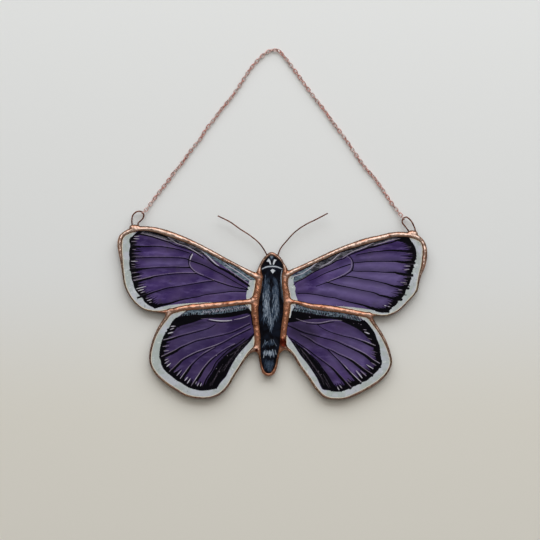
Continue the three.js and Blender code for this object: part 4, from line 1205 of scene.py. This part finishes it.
RIGHT_HINDWING_BORDER = [
    (344, 311), (357, 316.3), (363, 320), (367, 323.5), (370, 327.5), (373, 331.5), (374.7, 335),
    (376.5, 340.5), (378.6, 345), (379.4, 351), (380, 357), (381.2, 362), (379.5, 366.5), (376, 371),
    (372.5, 374.2), (369, 377.5), (365.5, 380.2), (361.5, 381.4), (358, 383.7), (353, 385.7), (348, 388),
    (344, 389.8), (338, 390.8), (330, 390.3), (322.5, 389.2), (320.7, 386.5), (318.8, 382.5), (317.3, 379),
    (315, 375), (311, 369), (306, 362), (301, 356), (297, 350), (293, 344), (288, 337), (284, 330),
]
RIGHT_HINDWING_PAINT = {
    "fringed": (2, 23),
    "border": RIGHT_HINDWING_BORDER,
    "outside": [(266, 350), (290, 420), (410, 420), (410, 300), (355, 300)],
    "hem": 3.6,
    "aim": (312, 328),
    "reach": 8.0,
    "teeth": 5.4,
    "fills": [
        ("border", 1.0, 0.8, [
            (284, 300), (293, 301), (296, 305.5), (293, 308.5), (292.2, 313), (290.2, 317.5), (284, 318),
        ]),
        ("wash", 0.9, 1.5, [
            (291, 300), (300, 302), (312, 306), (325, 308), (340, 310), (352, 313), (358, 316.5),
            (363, 321.5), (362, 323.5), (355, 322), (350, 320), (343, 317.6), (338, 319), (330, 317.8),
            (324, 315.4), (318, 315.8), (312, 314.2), (306, 313.2), (300, 313), (293, 312), (291.5, 310),
        ]),
        ("ink", 1.0, 1.3, [
            (291.5, 310.6), (300, 311.6), (308, 313.4), (318, 315), (325, 315.8), (332, 316.8), (340, 317),
            (348, 318.6), (357, 320.6), (363, 322), (368, 326.5), (372, 332), (375, 338), (377, 345),
            (378.5, 352), (374, 350), (372, 344), (368, 338), (362, 332), (356, 328), (349, 324.6),
            (343, 322), (337, 319.6), (330, 318.8), (322, 318.8), (312, 319), (304, 320), (297, 321.5),
            (287, 323), (287.5, 319), (290.5, 317.5),
        ]),
        ("ink", 0.9, 2.4, [
            (290, 338.5), (296, 342.5), (303, 347.8), (309, 354.2), (314, 358.2), (319, 363.8),
            (322, 368.5), (327, 375), (330, 380), (333, 386), (334, 390.5), (328, 390.2),
            *RIGHT_HINDWING_BORDER[24:-2],
        ]),
        ("dusk", 0.42, 12.0, [(270, 296), (372, 310), (356, 352), (312, 375), (278, 340)]),
        ("dusk", 1.0, 5.0, [
            (286, 316), (310, 318), (340, 320), (358, 324), (374, 338), (378, 350), (366, 338), (352, 330),
            (330, 324), (310, 324), (290, 326),
        ]),
        ("dusk", 0.95, 7.0, [(286, 316), (312, 320), (322, 334), (314, 350), (286, 336)]),
        ("bloom", 0.4, 5.0, [
            (346, 328), (360, 329), (372, 342), (372, 360), (352, 372), (330, 360), (336, 345),
        ]),
        ("dusk", 0.9, 5.0, [
            (286, 336), (305, 346), (322, 360), (332, 374), (340, 392), (325, 390), (300, 352),
        ]),
        ("dusk", 0.6, 4.0, [(381, 352), (379, 370), (362, 384), (340, 391), (350, 378), (368, 364)]),
    ],
    "lines": [
        ("ink", [
            (306, 323.4), (312, 324), (320, 324), (328, 322.6), (334, 321.8),
        ], (0.3, 0.5, 0.5, 0.3), 1.0),
        ("chalk", [
            (296, 318.3), (300, 320), (305, 321.5), (312, 322.6), (320, 322.7), (326, 321.6), (332, 320.4),
            (338, 320.3), (342, 320.4),
        ], (0.2, 0.3, 0.35, 0.42, 0.35, 0.2), 0.7),
        ("chalk", [(303.5, 347.8), (307, 350.8), (310, 354)], (0.2, 0.3, 0.25), 0.65),
        ("chalk", [(300, 348), (306, 355), (311, 362)], (0.4, 0.8, 0.4), 0.3),
        ("chalk", [(308, 358), (314, 366), (318.5, 374)], (0.4, 0.8, 0.4), 0.3),
        ("chalk", [(317, 370), (321, 377), (324, 385)], (0.4, 0.8, 0.4), 0.3),
        ("chalk", [(323, 374), (327, 381), (330, 387)], (0.4, 0.8, 0.4), 0.3),
    ],
    "veins": [
        ([
            (375, 346.8), (369, 344.2), (366, 342.9), (362, 341.4), (358, 340), (352, 338), (345, 336.4),
            (338, 334.5), (330, 331.8), (322, 328), (317, 324.2),
        ], (1.4, 1.2, 0.5, 0.45, 0.45, 0.4, 0.35), (0.2, -1.4), 1.0, 0.05),
        ([
            (379, 364.8), (372, 360.5), (368, 357.4), (363, 354), (352, 348.6), (344, 345), (336, 341.3),
            (324, 338), (318, 336.4), (311, 334.6), (305, 333), (300, 331), (295, 328.6), (288, 325.5),
        ], (1.8, 1.6, 0.8, 0.55, 0.5, 0.5, 0.65, 0.6), (0.4, -1.7), 0.9, 0.2),
        ([
            (371.5, 375), (365, 370.8), (359, 366.2), (352, 361), (345, 357.3), (338, 354.2), (332, 350.8),
            (326, 348.6), (320, 345.8), (315, 343.3), (310, 339.8), (305, 337), (300, 334.6),
        ], (1.7, 1.5, 0.6, 0.5, 0.5, 0.45, 0.3), (0.6, -1.3), 0.8, 0.4),
        ([
            (360, 382.6), (351, 374), (345, 367.7), (339, 361), (334, 356), (328, 350),
        ], (1.6, 1.2, 0.6, 0.45, 0.45), (1.0, -0.8), 0.95, 0.6),
        ([
            (350, 387.6), (343, 380), (338, 374.5), (333, 369), (328, 365), (322, 360.6), (315, 355.4),
            (309, 350.5), (303, 346.4), (296, 341.5), (289, 337.3),
        ], (1.7, 1.2, 0.5, 0.5, 0.5, 0.5), (0.9, -0.9), 0.75, 0.2),
        ([
            (335, 388), (330, 379.5), (327, 374.6), (322, 368), (319, 363.4), (314, 358), (309, 354),
            (303, 348.5),
        ], (0.9, 0.55, 0.5, 0.5, 0.4), ABOVE_RIGHT, 0.2, 0.3),
    ],
    "fingers": [
        (374, 334, 363, 330.5, 0.8), (375.5, 337.5, 365, 334, 0.9), (377, 341.5, 366, 338, 0.9),
        (378.5, 348, 370, 345.5, 0.8), (379.5, 353, 370, 349.5, 0.7), (380, 358, 370, 353.6, 0.6),
        (380, 367, 370, 361.5, 0.9), (376, 371, 365, 364.5, 0.9), (372, 374, 364, 368.2, 0.9),
        (367, 379, 358, 370, 1.0), (363, 381, 354, 371, 0.9), (355, 385, 347, 378, 1.0),
        (352, 386.5, 345, 380.5, 0.8), (344, 390, 340, 383.5, 0.8), (341, 391, 337, 385, 0.8),
        (337, 391, 334, 386, 0.7),
    ],
    "dashes": [
        (366.2, 329.9, 363, 329.5, 0.45, 0.75), (369, 333.6, 364.5, 331.8, 0.65, 1.0),
        (371.5, 339.3, 367, 337.9, 0.45, 0.6), (377, 352.6, 371, 350, 0.3, 0.6),
        (376, 354.7, 370, 351.9, 0.3, 0.6), (375.5, 356.8, 369.5, 353.8, 0.3, 0.6),
        (376, 365.4, 371, 362.4, 0.5, 0.65), (373, 368.6, 366.3, 364.4, 0.5, 1.0),
        (366, 375.7, 360.5, 370.4, 0.75, 0.65), (362, 377.8, 356, 370.3, 0.6, 1.0),
        (351, 382.5, 347, 378.6, 0.5, 0.5), (341.8, 388, 339.4, 385, 0.5, 0.85),
        (339, 389.7, 337, 386.4, 0.5, 0.95), (353.3, 323.3, 353.7, 323.3, 0.4, 0.6),
        (358.3, 323.2, 358.7, 323.3, 0.4, 0.6), (360.6, 324.3, 361.2, 324.5, 0.5, 0.7),
        (318.3, 371, 318.7, 371.3, 0.6, 0.6), (321, 374, 321.2, 374.6, 0.4, 0.6),
        (309.2, 316.6, 310, 317.4, 0.5, 0.6),
    ],
    "combs": [
        ("ink", 1.5, (293, 308.4), (361, 318.6), 46, (-0.9, 3.2), 0.4),
        ("ink", 1.5, (294, 305), (362, 317), 34, (2.0, 3.4), 0.26),
        ("chalk", 0.75, (294, 304.5), (361, 317), 34, (2.2, 4.0), 0.28),
        ("chalk", 0.42, (300, 347), (328, 386), 26, (2.8, 5.0), 0.3),
        ("chalk", 0.34, (294, 342), (320, 378), 20, (2.4, 4.8), 0.3),
    ],
}


# Painting, with all lengths in pixels

BORDER_STEPS = 3
BORDER_SOFTNESS = 0.9
HEM_STEP = 1.15
MARGIN_SHADE = 6.0
VEIN_SHADE = 2.4
VEIN_SHADE_STRENGTH = 0.62
CHALK_WIDTHS = (0.38, 0.3, 0.26)
CHALK_BREAKS = 8
SPUR_CHANCE = 0.45


def dab(x0, y0, x1, y1):
    """The route of a short straight stroke, with a place halfway for its width to change at."""
    return (x0, y0), ((x0 + x1) / 2, (y0 + y1) / 2), (x1, y1)


def paint_wing(paint, seed):
    """Gives the function that paints a wing from its lists of places."""

    def work(canvas):
        dice = random.Random(seed)
        border = curve_through(paint["border"], BORDER_STEPS)
        canvas.region("border", [*border, *paint["outside"]], BORDER_SOFTNESS)
        for layer, strength, soft, corners in paint["fills"]:
            canvas.region(layer, corners, soft, strength)
        paint_fringe(canvas, paint, border, dice)
        for comb in paint["combs"]:
            paint_comb(canvas, *comb, dice)
        for route, widths, aside, at_margin, at_base in paint["veins"]:
            canvas.stroke("dusk", np.array(route) - aside, VEIN_SHADE, VEIN_SHADE_STRENGTH)
            canvas.stroke("ink", route, widths)
            canvas.stroke("chalk", np.array(route) + aside, CHALK_WIDTHS, scratchy(at_margin, at_base, dice))
        for layer, route, widths, strength in paint["lines"]:
            canvas.stroke(layer, route, widths, strength)
        for *ends, width in paint["fingers"]:
            canvas.stroke("ink", dab(*ends), (width, width * 0.8, 0.12))
        for *ends, width, strength in paint["dashes"]:
            canvas.stroke("chalk", dab(*ends), (width * 0.6, width * 0.85, width * 0.4), strength)

    return work


def scratchy(start, end, dice):
    """Strengths along a pale line, from one end to the other, broken by chance."""
    steady = [start + (end - start) * step / CHALK_BREAKS for step in range(CHALK_BREAKS + 1)]
    return [strength * dice.uniform(0.55, 1.1) for strength in steady]


def paint_comb(canvas, layer, strength, start, end, count, lean, width, dice):
    """Short slanting strokes side by side along a line."""
    for index in range(count):
        share = (index + dice.uniform(-0.3, 0.3)) / count
        x = start[0] + (end[0] - start[0]) * share
        y = start[1] + (end[1] - start[1]) * share + dice.uniform(-0.6, 0.6)
        run = dice.uniform(0.6, 1.2)
        tip = (x + lean[0] * run, y + lean[1] * run)
        canvas.stroke(layer, ((x, y), tip), (width, width * 0.5), strength * dice.uniform(0.55, 1.0))


def paint_fringe(canvas, paint, border, dice):
    """The dark hem inside the pale border, ragged on both sides, with fingers that point to the base."""
    turn = np.sign(ring_area([*border, *paint["outside"]]))
    first, last = (place * BORDER_STEPS for place in paint["fringed"])
    stretch = border[first:last + 1]
    hem = evenly(stretch, int(np.linalg.norm(np.diff(stretch, axis=0), axis=1).sum() / HEM_STEP))
    canvas.stroke("dusk", hem, MARGIN_SHADE)
    for index in range(1, len(hem) - 1):
        spot = hem[index]
        along = (hem[index + 1] - hem[index - 1]) * turn
        inward = np.array((along[1], -along[0])) / np.linalg.norm(along)
        to_base = np.array(paint["aim"]) - spot
        aim = to_base / np.linalg.norm(to_base)
        hem_widths = (dice.uniform(0.5, 0.9), dice.uniform(0.6, 1.0))
        canvas.stroke("ink", (spot, spot + inward * paint["hem"]), hem_widths)
        canvas.stroke("ink", (spot, spot + aim * paint["teeth"] * dice.uniform(0.6, 1.4)), (0.8, 0.5, 0.1))
        if index % 2:
            finger = aim * paint["reach"] * dice.uniform(0.55, 1.25)
            canvas.stroke("ink", (spot, spot + finger), (0.85, 0.6, 0.12))
        if dice.random() < SPUR_CHANCE:
            canvas.stroke("ink", (spot, spot - inward * dice.uniform(0.3, 0.9)), (0.7, 0.2))


# Painting of the body, in pixels

BODY_SEED = 11
FACE_MARKS = [
    [(266.3, 261.6), (268.7, 258.3), (270.1, 260), (271.4, 264.6), (270, 264.7), (268.9, 262)],
    [(274, 259.2), (276.9, 259.9), (275, 262), (274, 264.9), (272.7, 264.7), (273.2, 261.5)],
    [(270.3, 270.5), (272.5, 268.8), (275.5, 270.5), (272.7, 273.7)],
]
CROWN_PATCH = [(269.5, 254.4), (273.8, 254.4), (273.6, 257), (271.8, 260), (269.8, 257.4)]
# Lines: route, half widths and strength
BODY_LINES = [
    ([(262, 269.2), (264, 268), (267, 266.9), (272, 266.4), (277, 266.9), (280, 268), (282.2, 269)],
     (0.35, 0.7, 0.72, 0.7, 0.35), 0.9),
    # A pale line inside the body along the right bead: a painted reflection of the foil.
    ([(282, 270), (281.3, 274), (281.2, 281), (282.5, 290), (283.5, 300), (284, 308)],
     (0.3, 0.5, 0.5, 0.3), 0.8),
    ([(261.5, 273), (262.5, 281), (261.5, 289), (260, 296)], (0.3, 0.4, 0.3), 0.45),
    ([(280, 283), (281.3, 291), (282, 299)], (0.3, 0.5, 0.3), 0.4),
    ([(262.5, 347), (265.5, 340)], (0.3, 0.5, 0.25), 0.62),
    ([(265, 344), (267.5, 341.5)], (0.3, 0.5), 0.62),
    ([(271, 339), (272, 343)], (0.3, 0.5), 0.6),
    ([(273, 339.5), (276.5, 346)], (0.3, 0.5, 0.3), 0.62),
    ([(263.5, 357.5), (265, 351)], (0.4, 0.8, 0.5), 0.8),
    ([(266, 355), (267.5, 351)], (0.5, 0.8, 0.5), 0.78),
    ([(269.5, 351.5), (270.5, 357.5)], (0.5, 0.7, 0.3), 0.8),
    ([(272.5, 349.5), (274, 357)], (0.5, 0.7, 0.3), 0.78),
    ([(275, 350), (276, 354)], (0.4, 0.6), 0.7),
    ([(264.5, 372), (268, 373.4), (272, 372), (275, 368)], (0.25, 0.45, 0.35, 0.2), 0.7),
]
# Fur patches: middle x, top y, bottom y, half width at the top and bottom, strokes, length and strengths
FUR_PATCHES = [
    (266.6, 276, 306, 3.0, 4.4, 170, 5.5, (0.3, 0.8)),
    (266.2, 290, 324, 4.0, 4.4, 175, 6.0, (0.4, 1.05)),
    (275.4, 277, 306, 3.0, 3.8, 150, 5.5, (0.3, 0.75)),
    (276.0, 290, 322, 3.6, 4.2, 135, 6.0, (0.35, 0.95)),
    (271.0, 306, 332, 6.6, 1.6, 125, 6.0, (0.4, 0.98)),
    (271.4, 279, 330, 9.0, 6.5, 110, 5.0, (0.12, 0.34)),
    (269.3, 340, 346, 6.6, 6.2, 50, 4.0, (0.3, 0.65)),
    (269.0, 351, 356, 6.8, 6.2, 70, 4.5, (0.45, 1.05)),
    (268.8, 360, 371, 6.4, 4.0, 110, 4.5, (0.3, 0.68)),
]
FUR_WIDTHS = (0.12, 0.32, 0.26, 0.1)
FUR_SPLAY = 0.12
FUR_SHAKE = 0.14


def paint_body(canvas):
    """Fur in strokes that fan out, then the face's marks and the pale lines."""
    dice = random.Random(BODY_SEED)
    canvas.layers["ink"][:] = 1.0
    for middle, top, bottom, wide, narrow, count, length, (faint, bright) in FUR_PATCHES:
        for _ in range(count):
            share = dice.triangular(0, 1)
            side = dice.triangular(-1, 1)
            x = middle + side * (wide + (narrow - wide) * share)
            y = top + (bottom - top) * share
            lean = FUR_SPLAY * side + dice.uniform(-FUR_SHAKE, FUR_SHAKE)
            run = length * dice.uniform(0.5, 1.1)
            route = dab(x - lean * run / 2, y - run / 2, x + lean * run / 2, y + run / 2)
            canvas.stroke("wash", route, FUR_WIDTHS, dice.uniform(faint, bright))
    canvas.region("wash", CROWN_PATCH, soft=0.9, strength=0.75)
    for mark in FACE_MARKS:
        canvas.region("chalk", mark, soft=0.45)
    for route, widths, strength in BODY_LINES:
        canvas.stroke("chalk", route, widths, strength)


# Materials


class Shader:
    """Writes a material's nodes, with one short call for each."""

    def __init__(self, name):
        self.material = bpy.data.materials.new(name)
        self.material.use_nodes = True
        self.tree = self.material.node_tree
        self.surface = self.tree.nodes["Principled BSDF"]
        self.place = self.node("ShaderNodeTexCoord").outputs["Object"]

    def feed(self, socket, value):
        if isinstance(value, bpy.types.NodeSocket):
            self.tree.links.new(value, socket)
        else:
            socket.default_value = value

    def node(self, kind, inputs=(), **settings):
        made = self.tree.nodes.new(kind)
        for name, value in settings.items():
            setattr(made, name, value)
        for socket, value in inputs:
            self.feed(made.inputs[socket], value)
        return made

    def noise(self, scale, detail=3.0, rough=0.55, stretch=(1, 1, 1), turn=0.0):
        moved = self.node("ShaderNodeMapping", [
            ("Vector", self.place), ("Rotation", (0, 0, math.radians(turn))), ("Scale", stretch),
        ])
        made = self.node("ShaderNodeTexNoise", [
            ("Vector", moved.outputs[0]), ("Scale", scale), ("Detail", detail), ("Roughness", rough),
        ])
        return made.outputs["Fac"]

    def combine(self, operation, a, b):
        return self.node("ShaderNodeMath", [(0, a), (1, b)], operation=operation).outputs[0]

    def edge(self, value, low, high):
        """Rises smoothly from 0 to 1 while the value goes from low to high."""
        inputs = [("Value", value), ("From Min", low), ("From Max", high)]
        return self.node("ShaderNodeMapRange", inputs, interpolation_type="SMOOTHSTEP").outputs["Result"]

    def spread(self, value, low, high):
        """Turns 0 to 1 into low to high."""
        inputs = [("Value", value), ("To Min", low), ("To Max", high)]
        return self.node("ShaderNodeMapRange", inputs).outputs["Result"]

    def mix(self, share, a, b):
        """Goes from colour a to colour b as the share goes from 0 to 1."""
        return self.node("ShaderNodeMix", [(0, share), (6, a), (7, b)], data_type="RGBA").outputs[2]

    def layer(self, name):
        """A number that is kept at each point of the mesh."""
        return self.node("ShaderNodeAttribute", attribute_name=name).outputs["Fac"]

    def shaken(self, value, shake, amount):
        """The value, made ragged by a noise that swings about one half."""
        swing = self.combine("SUBTRACT", shake, 0.5)
        return self.combine("ADD", value, self.combine("MULTIPLY", swing, amount))

    def bump(self, height, depth, below=None):
        inputs = [("Height", height), ("Distance", depth), ("Strength", 1.0)]
        if below is not None:
            inputs.append(("Normal", below))
        return self.node("ShaderNodeBump", inputs).outputs["Normal"]

    def finish(self, **sockets):
        for name, value in sockets.items():
            self.feed(self.surface.inputs[name.replace("_", " ")], value)
        return self.material


def linear(value):
    """One channel of a screen colour, from 0 to 255, as the renderer's linear value."""
    share = value / 255
    return share / 12.92 if value <= 10 else ((share + 0.055) / 1.055) ** 2.4


def colour(red, green, blue):
    return linear(red), linear(green), linear(blue), 1.0


COPPER_PALE_WEAR_AND_HIGHLIGHT = colour(250, 226, 210)
COPPER_PINK = colour(216, 146, 114)
COPPER_WARM = colour(212, 138, 100)
COPPER_DEEP = colour(144, 80, 52)
COPPER_TAN_PAINTED_REFLECTION = colour(180, 156, 134)
COPPER_DARK_PATINA_AND_SHADE = colour(76, 30, 22)
COPPER_OLIVE_PATINA_AND_SHADE = colour(104, 84, 56)
COPPER_BURNT = colour(108, 42, 28)


def bead_copper():
    """Copper patina on hand-run solder: rubbed pale on the crowns away from the body, which is also a
    painted highlight;
    tan lower down, which is a painted reflection; dark maroon or olive at the sides and on thin beads, which
    is patina in the hollows and painted shade; and dark red where it was overheated."""
    s = Shader("copper_patina")
    patches = s.noise(170, 3.0, 0.55)
    stains = s.noise(300, 4.0, 0.6)
    side = s.shaken(s.layer("side"), stains, 0.5)
    wear_and_sheen = s.layer("wear_and_sheen")
    # The bead's middle: pale with rubbing, and a painted highlight.
    crown_wear_and_highlight = s.edge(s.shaken(s.layer("side"), patches, 1.4), 0.7, 0.2)
    # The bead's slopes, painted tan as a reflection.
    slope_painted_reflection = s.edge(side, 0.45, 0.75)
    # Sides and thin beads: dark patina in the hollows, and painted shade.
    rim = s.mix(s.edge(s.noise(150, 3.0, 0.6), 0.45, 0.6), COPPER_DARK_PATINA_AND_SHADE, COPPER_OLIVE_PATINA_AND_SHADE)
    base = s.mix(wear_and_sheen, COPPER_WARM, COPPER_PINK)
    base = s.mix(s.combine("MULTIPLY", crown_wear_and_highlight, s.spread(wear_and_sheen, 0.1, 0.9)), base, COPPER_PALE_WEAR_AND_HIGHLIGHT)
    base = s.mix(s.edge(stains, 0.5, 0.72), base, COPPER_DEEP)
    base = s.mix(s.combine("MULTIPLY", slope_painted_reflection, s.spread(wear_and_sheen, 0.1, 0.7)), base, COPPER_TAN_PAINTED_REFLECTION)
    base = s.mix(s.edge(side, 0.74, 1.0), base, rim)
    base = s.mix(s.combine("MULTIPLY", s.layer("thin"), 0.8), base, rim)
    base = s.mix(s.edge(s.shaken(s.layer("burnt"), stains, 0.4), 0.1, 0.7), base, COPPER_BURNT)
    normal = s.bump(s.noise(480, 2.0, 0.5), 0.2 * MM)
    normal = s.bump(s.noise(1200, 2.0, 0.5), 0.022 * MM, normal)
    return s.finish(Base_Color=base, Metallic=1.0, Roughness=s.spread(patches, 0.36, 0.16), Normal=normal)


WIRE_TONES = (colour(168, 112, 92), colour(116, 66, 50), colour(64, 32, 26))
CHAIN_TONES = (colour(255, 232, 226), colour(248, 184, 172), colour(124, 62, 58))
WIRE_CLOUDS = 900
CHAIN_CLOUDS = 700
SCRATCH_DEPTH = 0.02 * MM


def wire_copper(name, tones, scale):
    """Copper-coated wire, clouded between a pale, a middle and a dark tone."""
    s = Shader(name)
    pale, middle, dark = tones
    clouds = s.noise(scale * 0.45, 4.0, 0.6)
    stains = s.noise(scale, 5.0, 0.7)
    fine = s.noise(scale * 2.3, 3.0, 0.5)
    base = s.mix(s.edge(clouds, 0.36, 0.62), middle, pale)
    base = s.mix(s.edge(stains, 0.52, 0.70), base, dark)
    normal = s.bump(fine, SCRATCH_DEPTH)
    return s.finish(Base_Color=base, Metallic=1.0, Roughness=s.spread(fine, 0.2, 0.34), Normal=normal)


INK = colour(8, 7, 11)
NAVY_INK = colour(17, 21, 31)
CHALK = colour(202, 203, 204)


class PaintedGlass(Shader):
    """The nodes of glass under matt paint, which comes in layers kept at the points of the mesh."""

    def __init__(self, name):
        super().__init__(name)
        self.ragged = self.noise(1500, 3.0, 0.6)

    def cover(self, layer, low=0.42, high=0.58, shake=0.4):
        """1 where a layer's strength, made ragged by noise, passes one half and its paint covers."""
        return self.edge(self.shaken(self.layer(layer), self.ragged, shake), low, high)

    def glossed(self, base, faint_chalk, border=None):
        """Draws the pale lines over the base, and finishes the surface with duller paint on wavy glass."""
        faint = self.mix(self.noise(600, 2.0, 0.5), *faint_chalk)
        chalk = self.mix(self.edge(self.layer("chalk"), 0.4, 0.95), faint, CHALK)
        chalked = self.cover("chalk", 0.12, 0.85, 0.3)
        painted = chalked if border is None else self.combine("MAXIMUM", border, chalked)
        normal = self.bump(self.noise(120, 2.0, 0.5), 0.3 * MM)
        normal = self.bump(painted, 0.02 * MM, normal)
        base = self.mix(chalked, base, chalk)
        rough = self.spread(painted, 0.22, 0.5)
        return self.finish(Base_Color=base, Roughness=rough, IOR=1.5, Specular_IOR_Level=0.05, Normal=normal)


def wing_glass():
    s = PaintedGlass("painted_purple_glass")
    base = s.mix(s.cover("ink"), bordered(s, washed(s, brushed_purple(s))), INK)
    return s.glossed(base, (colour(130, 112, 132), colour(168, 152, 168)), s.cover("border"))


def body_glass():
    s = PaintedGlass("painted_body_glass")
    return s.glossed(furred(s), (colour(96, 108, 122), colour(140, 150, 162)))


def brushed_purple(s):
    """Violet glass under soft dabs of grey-brown, lilac and dusk."""
    clouds = s.noise(70, 3.0, 0.5)
    dabs = s.noise(230, 4.0, 0.6, (0.5, 1.4, 1.0), 12)
    base = s.mix(s.edge(clouds, 0.36, 0.64), colour(60, 42, 92), colour(86, 68, 112))
    base = s.mix(s.edge(dabs, 0.46, 0.78), base, colour(104, 86, 136))
    base = s.mix(s.edge(s.noise(150, 3.0, 0.6), 0.56, 0.78), base, colour(78, 66, 86))
    bloom = s.combine("MULTIPLY", s.layer("bloom"), s.spread(dabs, 0.6, 1.3))
    base = s.mix(bloom, base, colour(106, 92, 134))
    return s.mix(s.combine("MULTIPLY", s.layer("dusk"), 0.82), base, colour(34, 28, 42))


def washed(s, base):
    """Grey and teal scumble along the front edges, in slanting dabs."""
    dabs = s.noise(900, 3.0, 0.7, (0.45, 1.4, 1.0), 35)
    dark = s.mix(s.edge(dabs, 0.42, 0.62), colour(44, 42, 46), colour(102, 98, 104))
    teal = s.mix(s.edge(dabs, 0.36, 0.52), colour(48, 56, 68), colour(98, 112, 122))
    teal = s.mix(s.edge(dabs, 0.54, 0.70), teal, colour(150, 162, 166))
    wash = s.mix(s.edge(s.layer("wash"), 0.66, 0.8), dark, teal)
    return s.mix(s.cover("wash", shake=0.7), base, wash)


def bordered(s, base):
    """The pale border: greenish grey, lavender and white mottle, and cream beside the metal."""
    clouds = s.edge(s.noise(140, 4.0, 0.6), 0.4, 0.6)
    border = s.mix(clouds, colour(170, 176, 170), colour(184, 185, 190))
    border = s.mix(s.edge(s.noise(620, 4.0, 0.7), 0.56, 0.74), border, colour(136, 140, 140))
    border = s.mix(s.edge(s.noise(380, 4.0, 0.7), 0.56, 0.74), border, colour(208, 212, 206))
    border = s.mix(s.edge(s.layer("by_bead"), 0.4, 0.8), border, colour(208, 200, 182))
    return s.mix(s.cover("border", shake=0.5), base, border)


def furred(s):
    """Blue-grey brush strokes over navy-black."""
    fur = s.shaken(s.layer("wash"), s.ragged, 0.35)
    base = s.mix(s.edge(s.noise(240, 4.0, 0.6), 0.4, 0.64), INK, NAVY_INK)
    base = s.mix(s.edge(fur, 0.05, 0.65), base, colour(54, 66, 82))
    return s.mix(s.edge(fur, 0.5, 1.05), base, colour(166, 175, 184))


def dress(piece, material):
    piece.data.materials.clear()
    piece.data.materials.append(material)


# Floor, light and background

FLOOR_SIZE = 3.0
# The floor's two tones are painted light: cooler at the head end, warmer and a little darker towards the
# tail end.
FLOOR_UPPER_LIT = colour(224, 222, 217)
FLOOR_LOWER_WARM_SHADE = colour(222, 216, 203)
FLOOR_LIGHT_CHANGE = (-70 * MM, 30 * MM)
WINDOW_PLACE = (0.1, 1.05, 0.66)
WINDOW_AIM = (0, 0.03, 0)
WINDOW_SIZE = (2.6, 0.8)
WINDOW_POWER = 26.0
WINDOW_TINT = (0.87, 0.93, 1.0)
SKY_DIM = (0.20, 0.192, 0.18, 1.0)
SKY_GLOW = (1.62, 1.60, 1.60, 1.0)
GLOW_TOWARDS = (0.06, 0.48, 0.87)
GLOW_EDGES_DEG = (33, 8)


def add_floor():
    """A plain pale floor with painted light: a little warmer and darker towards the tail end."""
    half = FLOOR_SIZE / 2
    corners = [(-half, -half, 0), (half, -half, 0), (half, half, 0), (-half, half, 0)]
    floor = mesh_object("floor", corners, [(0, 1, 2, 3)])
    s = Shader("floor_paint")
    up = s.node("ShaderNodeSeparateXYZ", [(0, s.place)]).outputs["Y"]
    tone = s.mix(s.edge(up, *FLOOR_LIGHT_CHANGE), FLOOR_LOWER_WARM_SHADE, FLOOR_UPPER_LIT)
    dress(floor, s.finish(Base_Color=tone, Roughness=0.7))


def add_window():
    """A lamp like a window, which isn't itself seen in shiny surfaces."""
    data = bpy.data.lights.new("window", "AREA")
    data.shape = "RECTANGLE"
    data.size, data.size_y = WINDOW_SIZE
    data.energy = WINDOW_POWER
    data.color = WINDOW_TINT
    lamp = bpy.data.objects.new("window", data)
    lamp.location = WINDOW_PLACE
    lamp.rotation_euler = (Vector(WINDOW_AIM) - Vector(WINDOW_PLACE)).to_track_quat("-Z", "Y").to_euler()
    lamp.visible_glossy = False
    bpy.context.scene.collection.objects.link(lamp)


def add_room():
    """A dim surround with a broad soft glow overhead, a little towards the head end."""
    world = bpy.data.worlds.new("room")
    bpy.context.scene.world = world
    world.use_nodes = True
    tree = world.node_tree
    facing = tree.nodes.new("ShaderNodeVectorMath")
    facing.operation = "DOT_PRODUCT"
    tree.links.new(tree.nodes.new("ShaderNodeTexCoord").outputs["Generated"], facing.inputs[0])
    facing.inputs[1].default_value = Vector(GLOW_TOWARDS).normalized()
    glow = tree.nodes.new("ShaderNodeMapRange")
    glow.interpolation_type = "SMOOTHSTEP"
    tree.links.new(facing.outputs["Value"], glow.inputs["Value"])
    for socket, degrees in zip(("From Min", "From Max"), GLOW_EDGES_DEG):
        glow.inputs[socket].default_value = math.cos(math.radians(degrees))
    shade = tree.nodes.new("ShaderNodeMix")
    shade.data_type = "RGBA"
    tree.links.new(glow.outputs["Result"], shade.inputs[0])
    shade.inputs[6].default_value = SKY_DIM
    shade.inputs[7].default_value = SKY_GLOW
    tree.links.new(shade.outputs[2], tree.nodes["Background"].inputs["Color"])


# The scene

add_camera()
chain = build_chain()
wires = build_wires()
bead_routes = bead_lines()
solder = build_solder(bead_routes)

wing_paint = wing_glass()
body_paint = body_glass()
PANES = {
    "glass_forewing_left": ("painted_forewing_left", paint_wing(LEFT_FOREWING_PAINT, 1), "purple_glass"),
    "glass_hindwing_left": ("painted_hindwing_left", paint_wing(LEFT_HINDWING_PAINT, 2), "purple_glass"),
    "glass_forewing_right": ("painted_forewing_right", paint_wing(RIGHT_FOREWING_PAINT, 3), "purple_glass"),
    "glass_hindwing_right": ("painted_hindwing_right", paint_wing(RIGHT_HINDWING_PAINT, 4), "purple_glass"),
    "glass_body": ("painted_body", paint_body, "body_glass"),
}
for node, stretches in pane_outlines(bead_routes).items():
    name, paint, slot = PANES[node]
    pane = build_pane(name, node, closed_outline(stretches), np.vstack(stretches), paint)
    dress(pane, body_paint if node == "glass_body" else wing_paint)

dress(solder, bead_copper())
dark_wire = wire_copper("wire_copper", WIRE_TONES, WIRE_CLOUDS)
for piece in wires:
    dress(piece, dark_wire)
dress(chain, wire_copper("chain_copper", CHAIN_TONES, CHAIN_CLOUDS))

add_floor()
add_window()
add_room()
bpy.context.scene.view_settings.view_transform = "Standard"
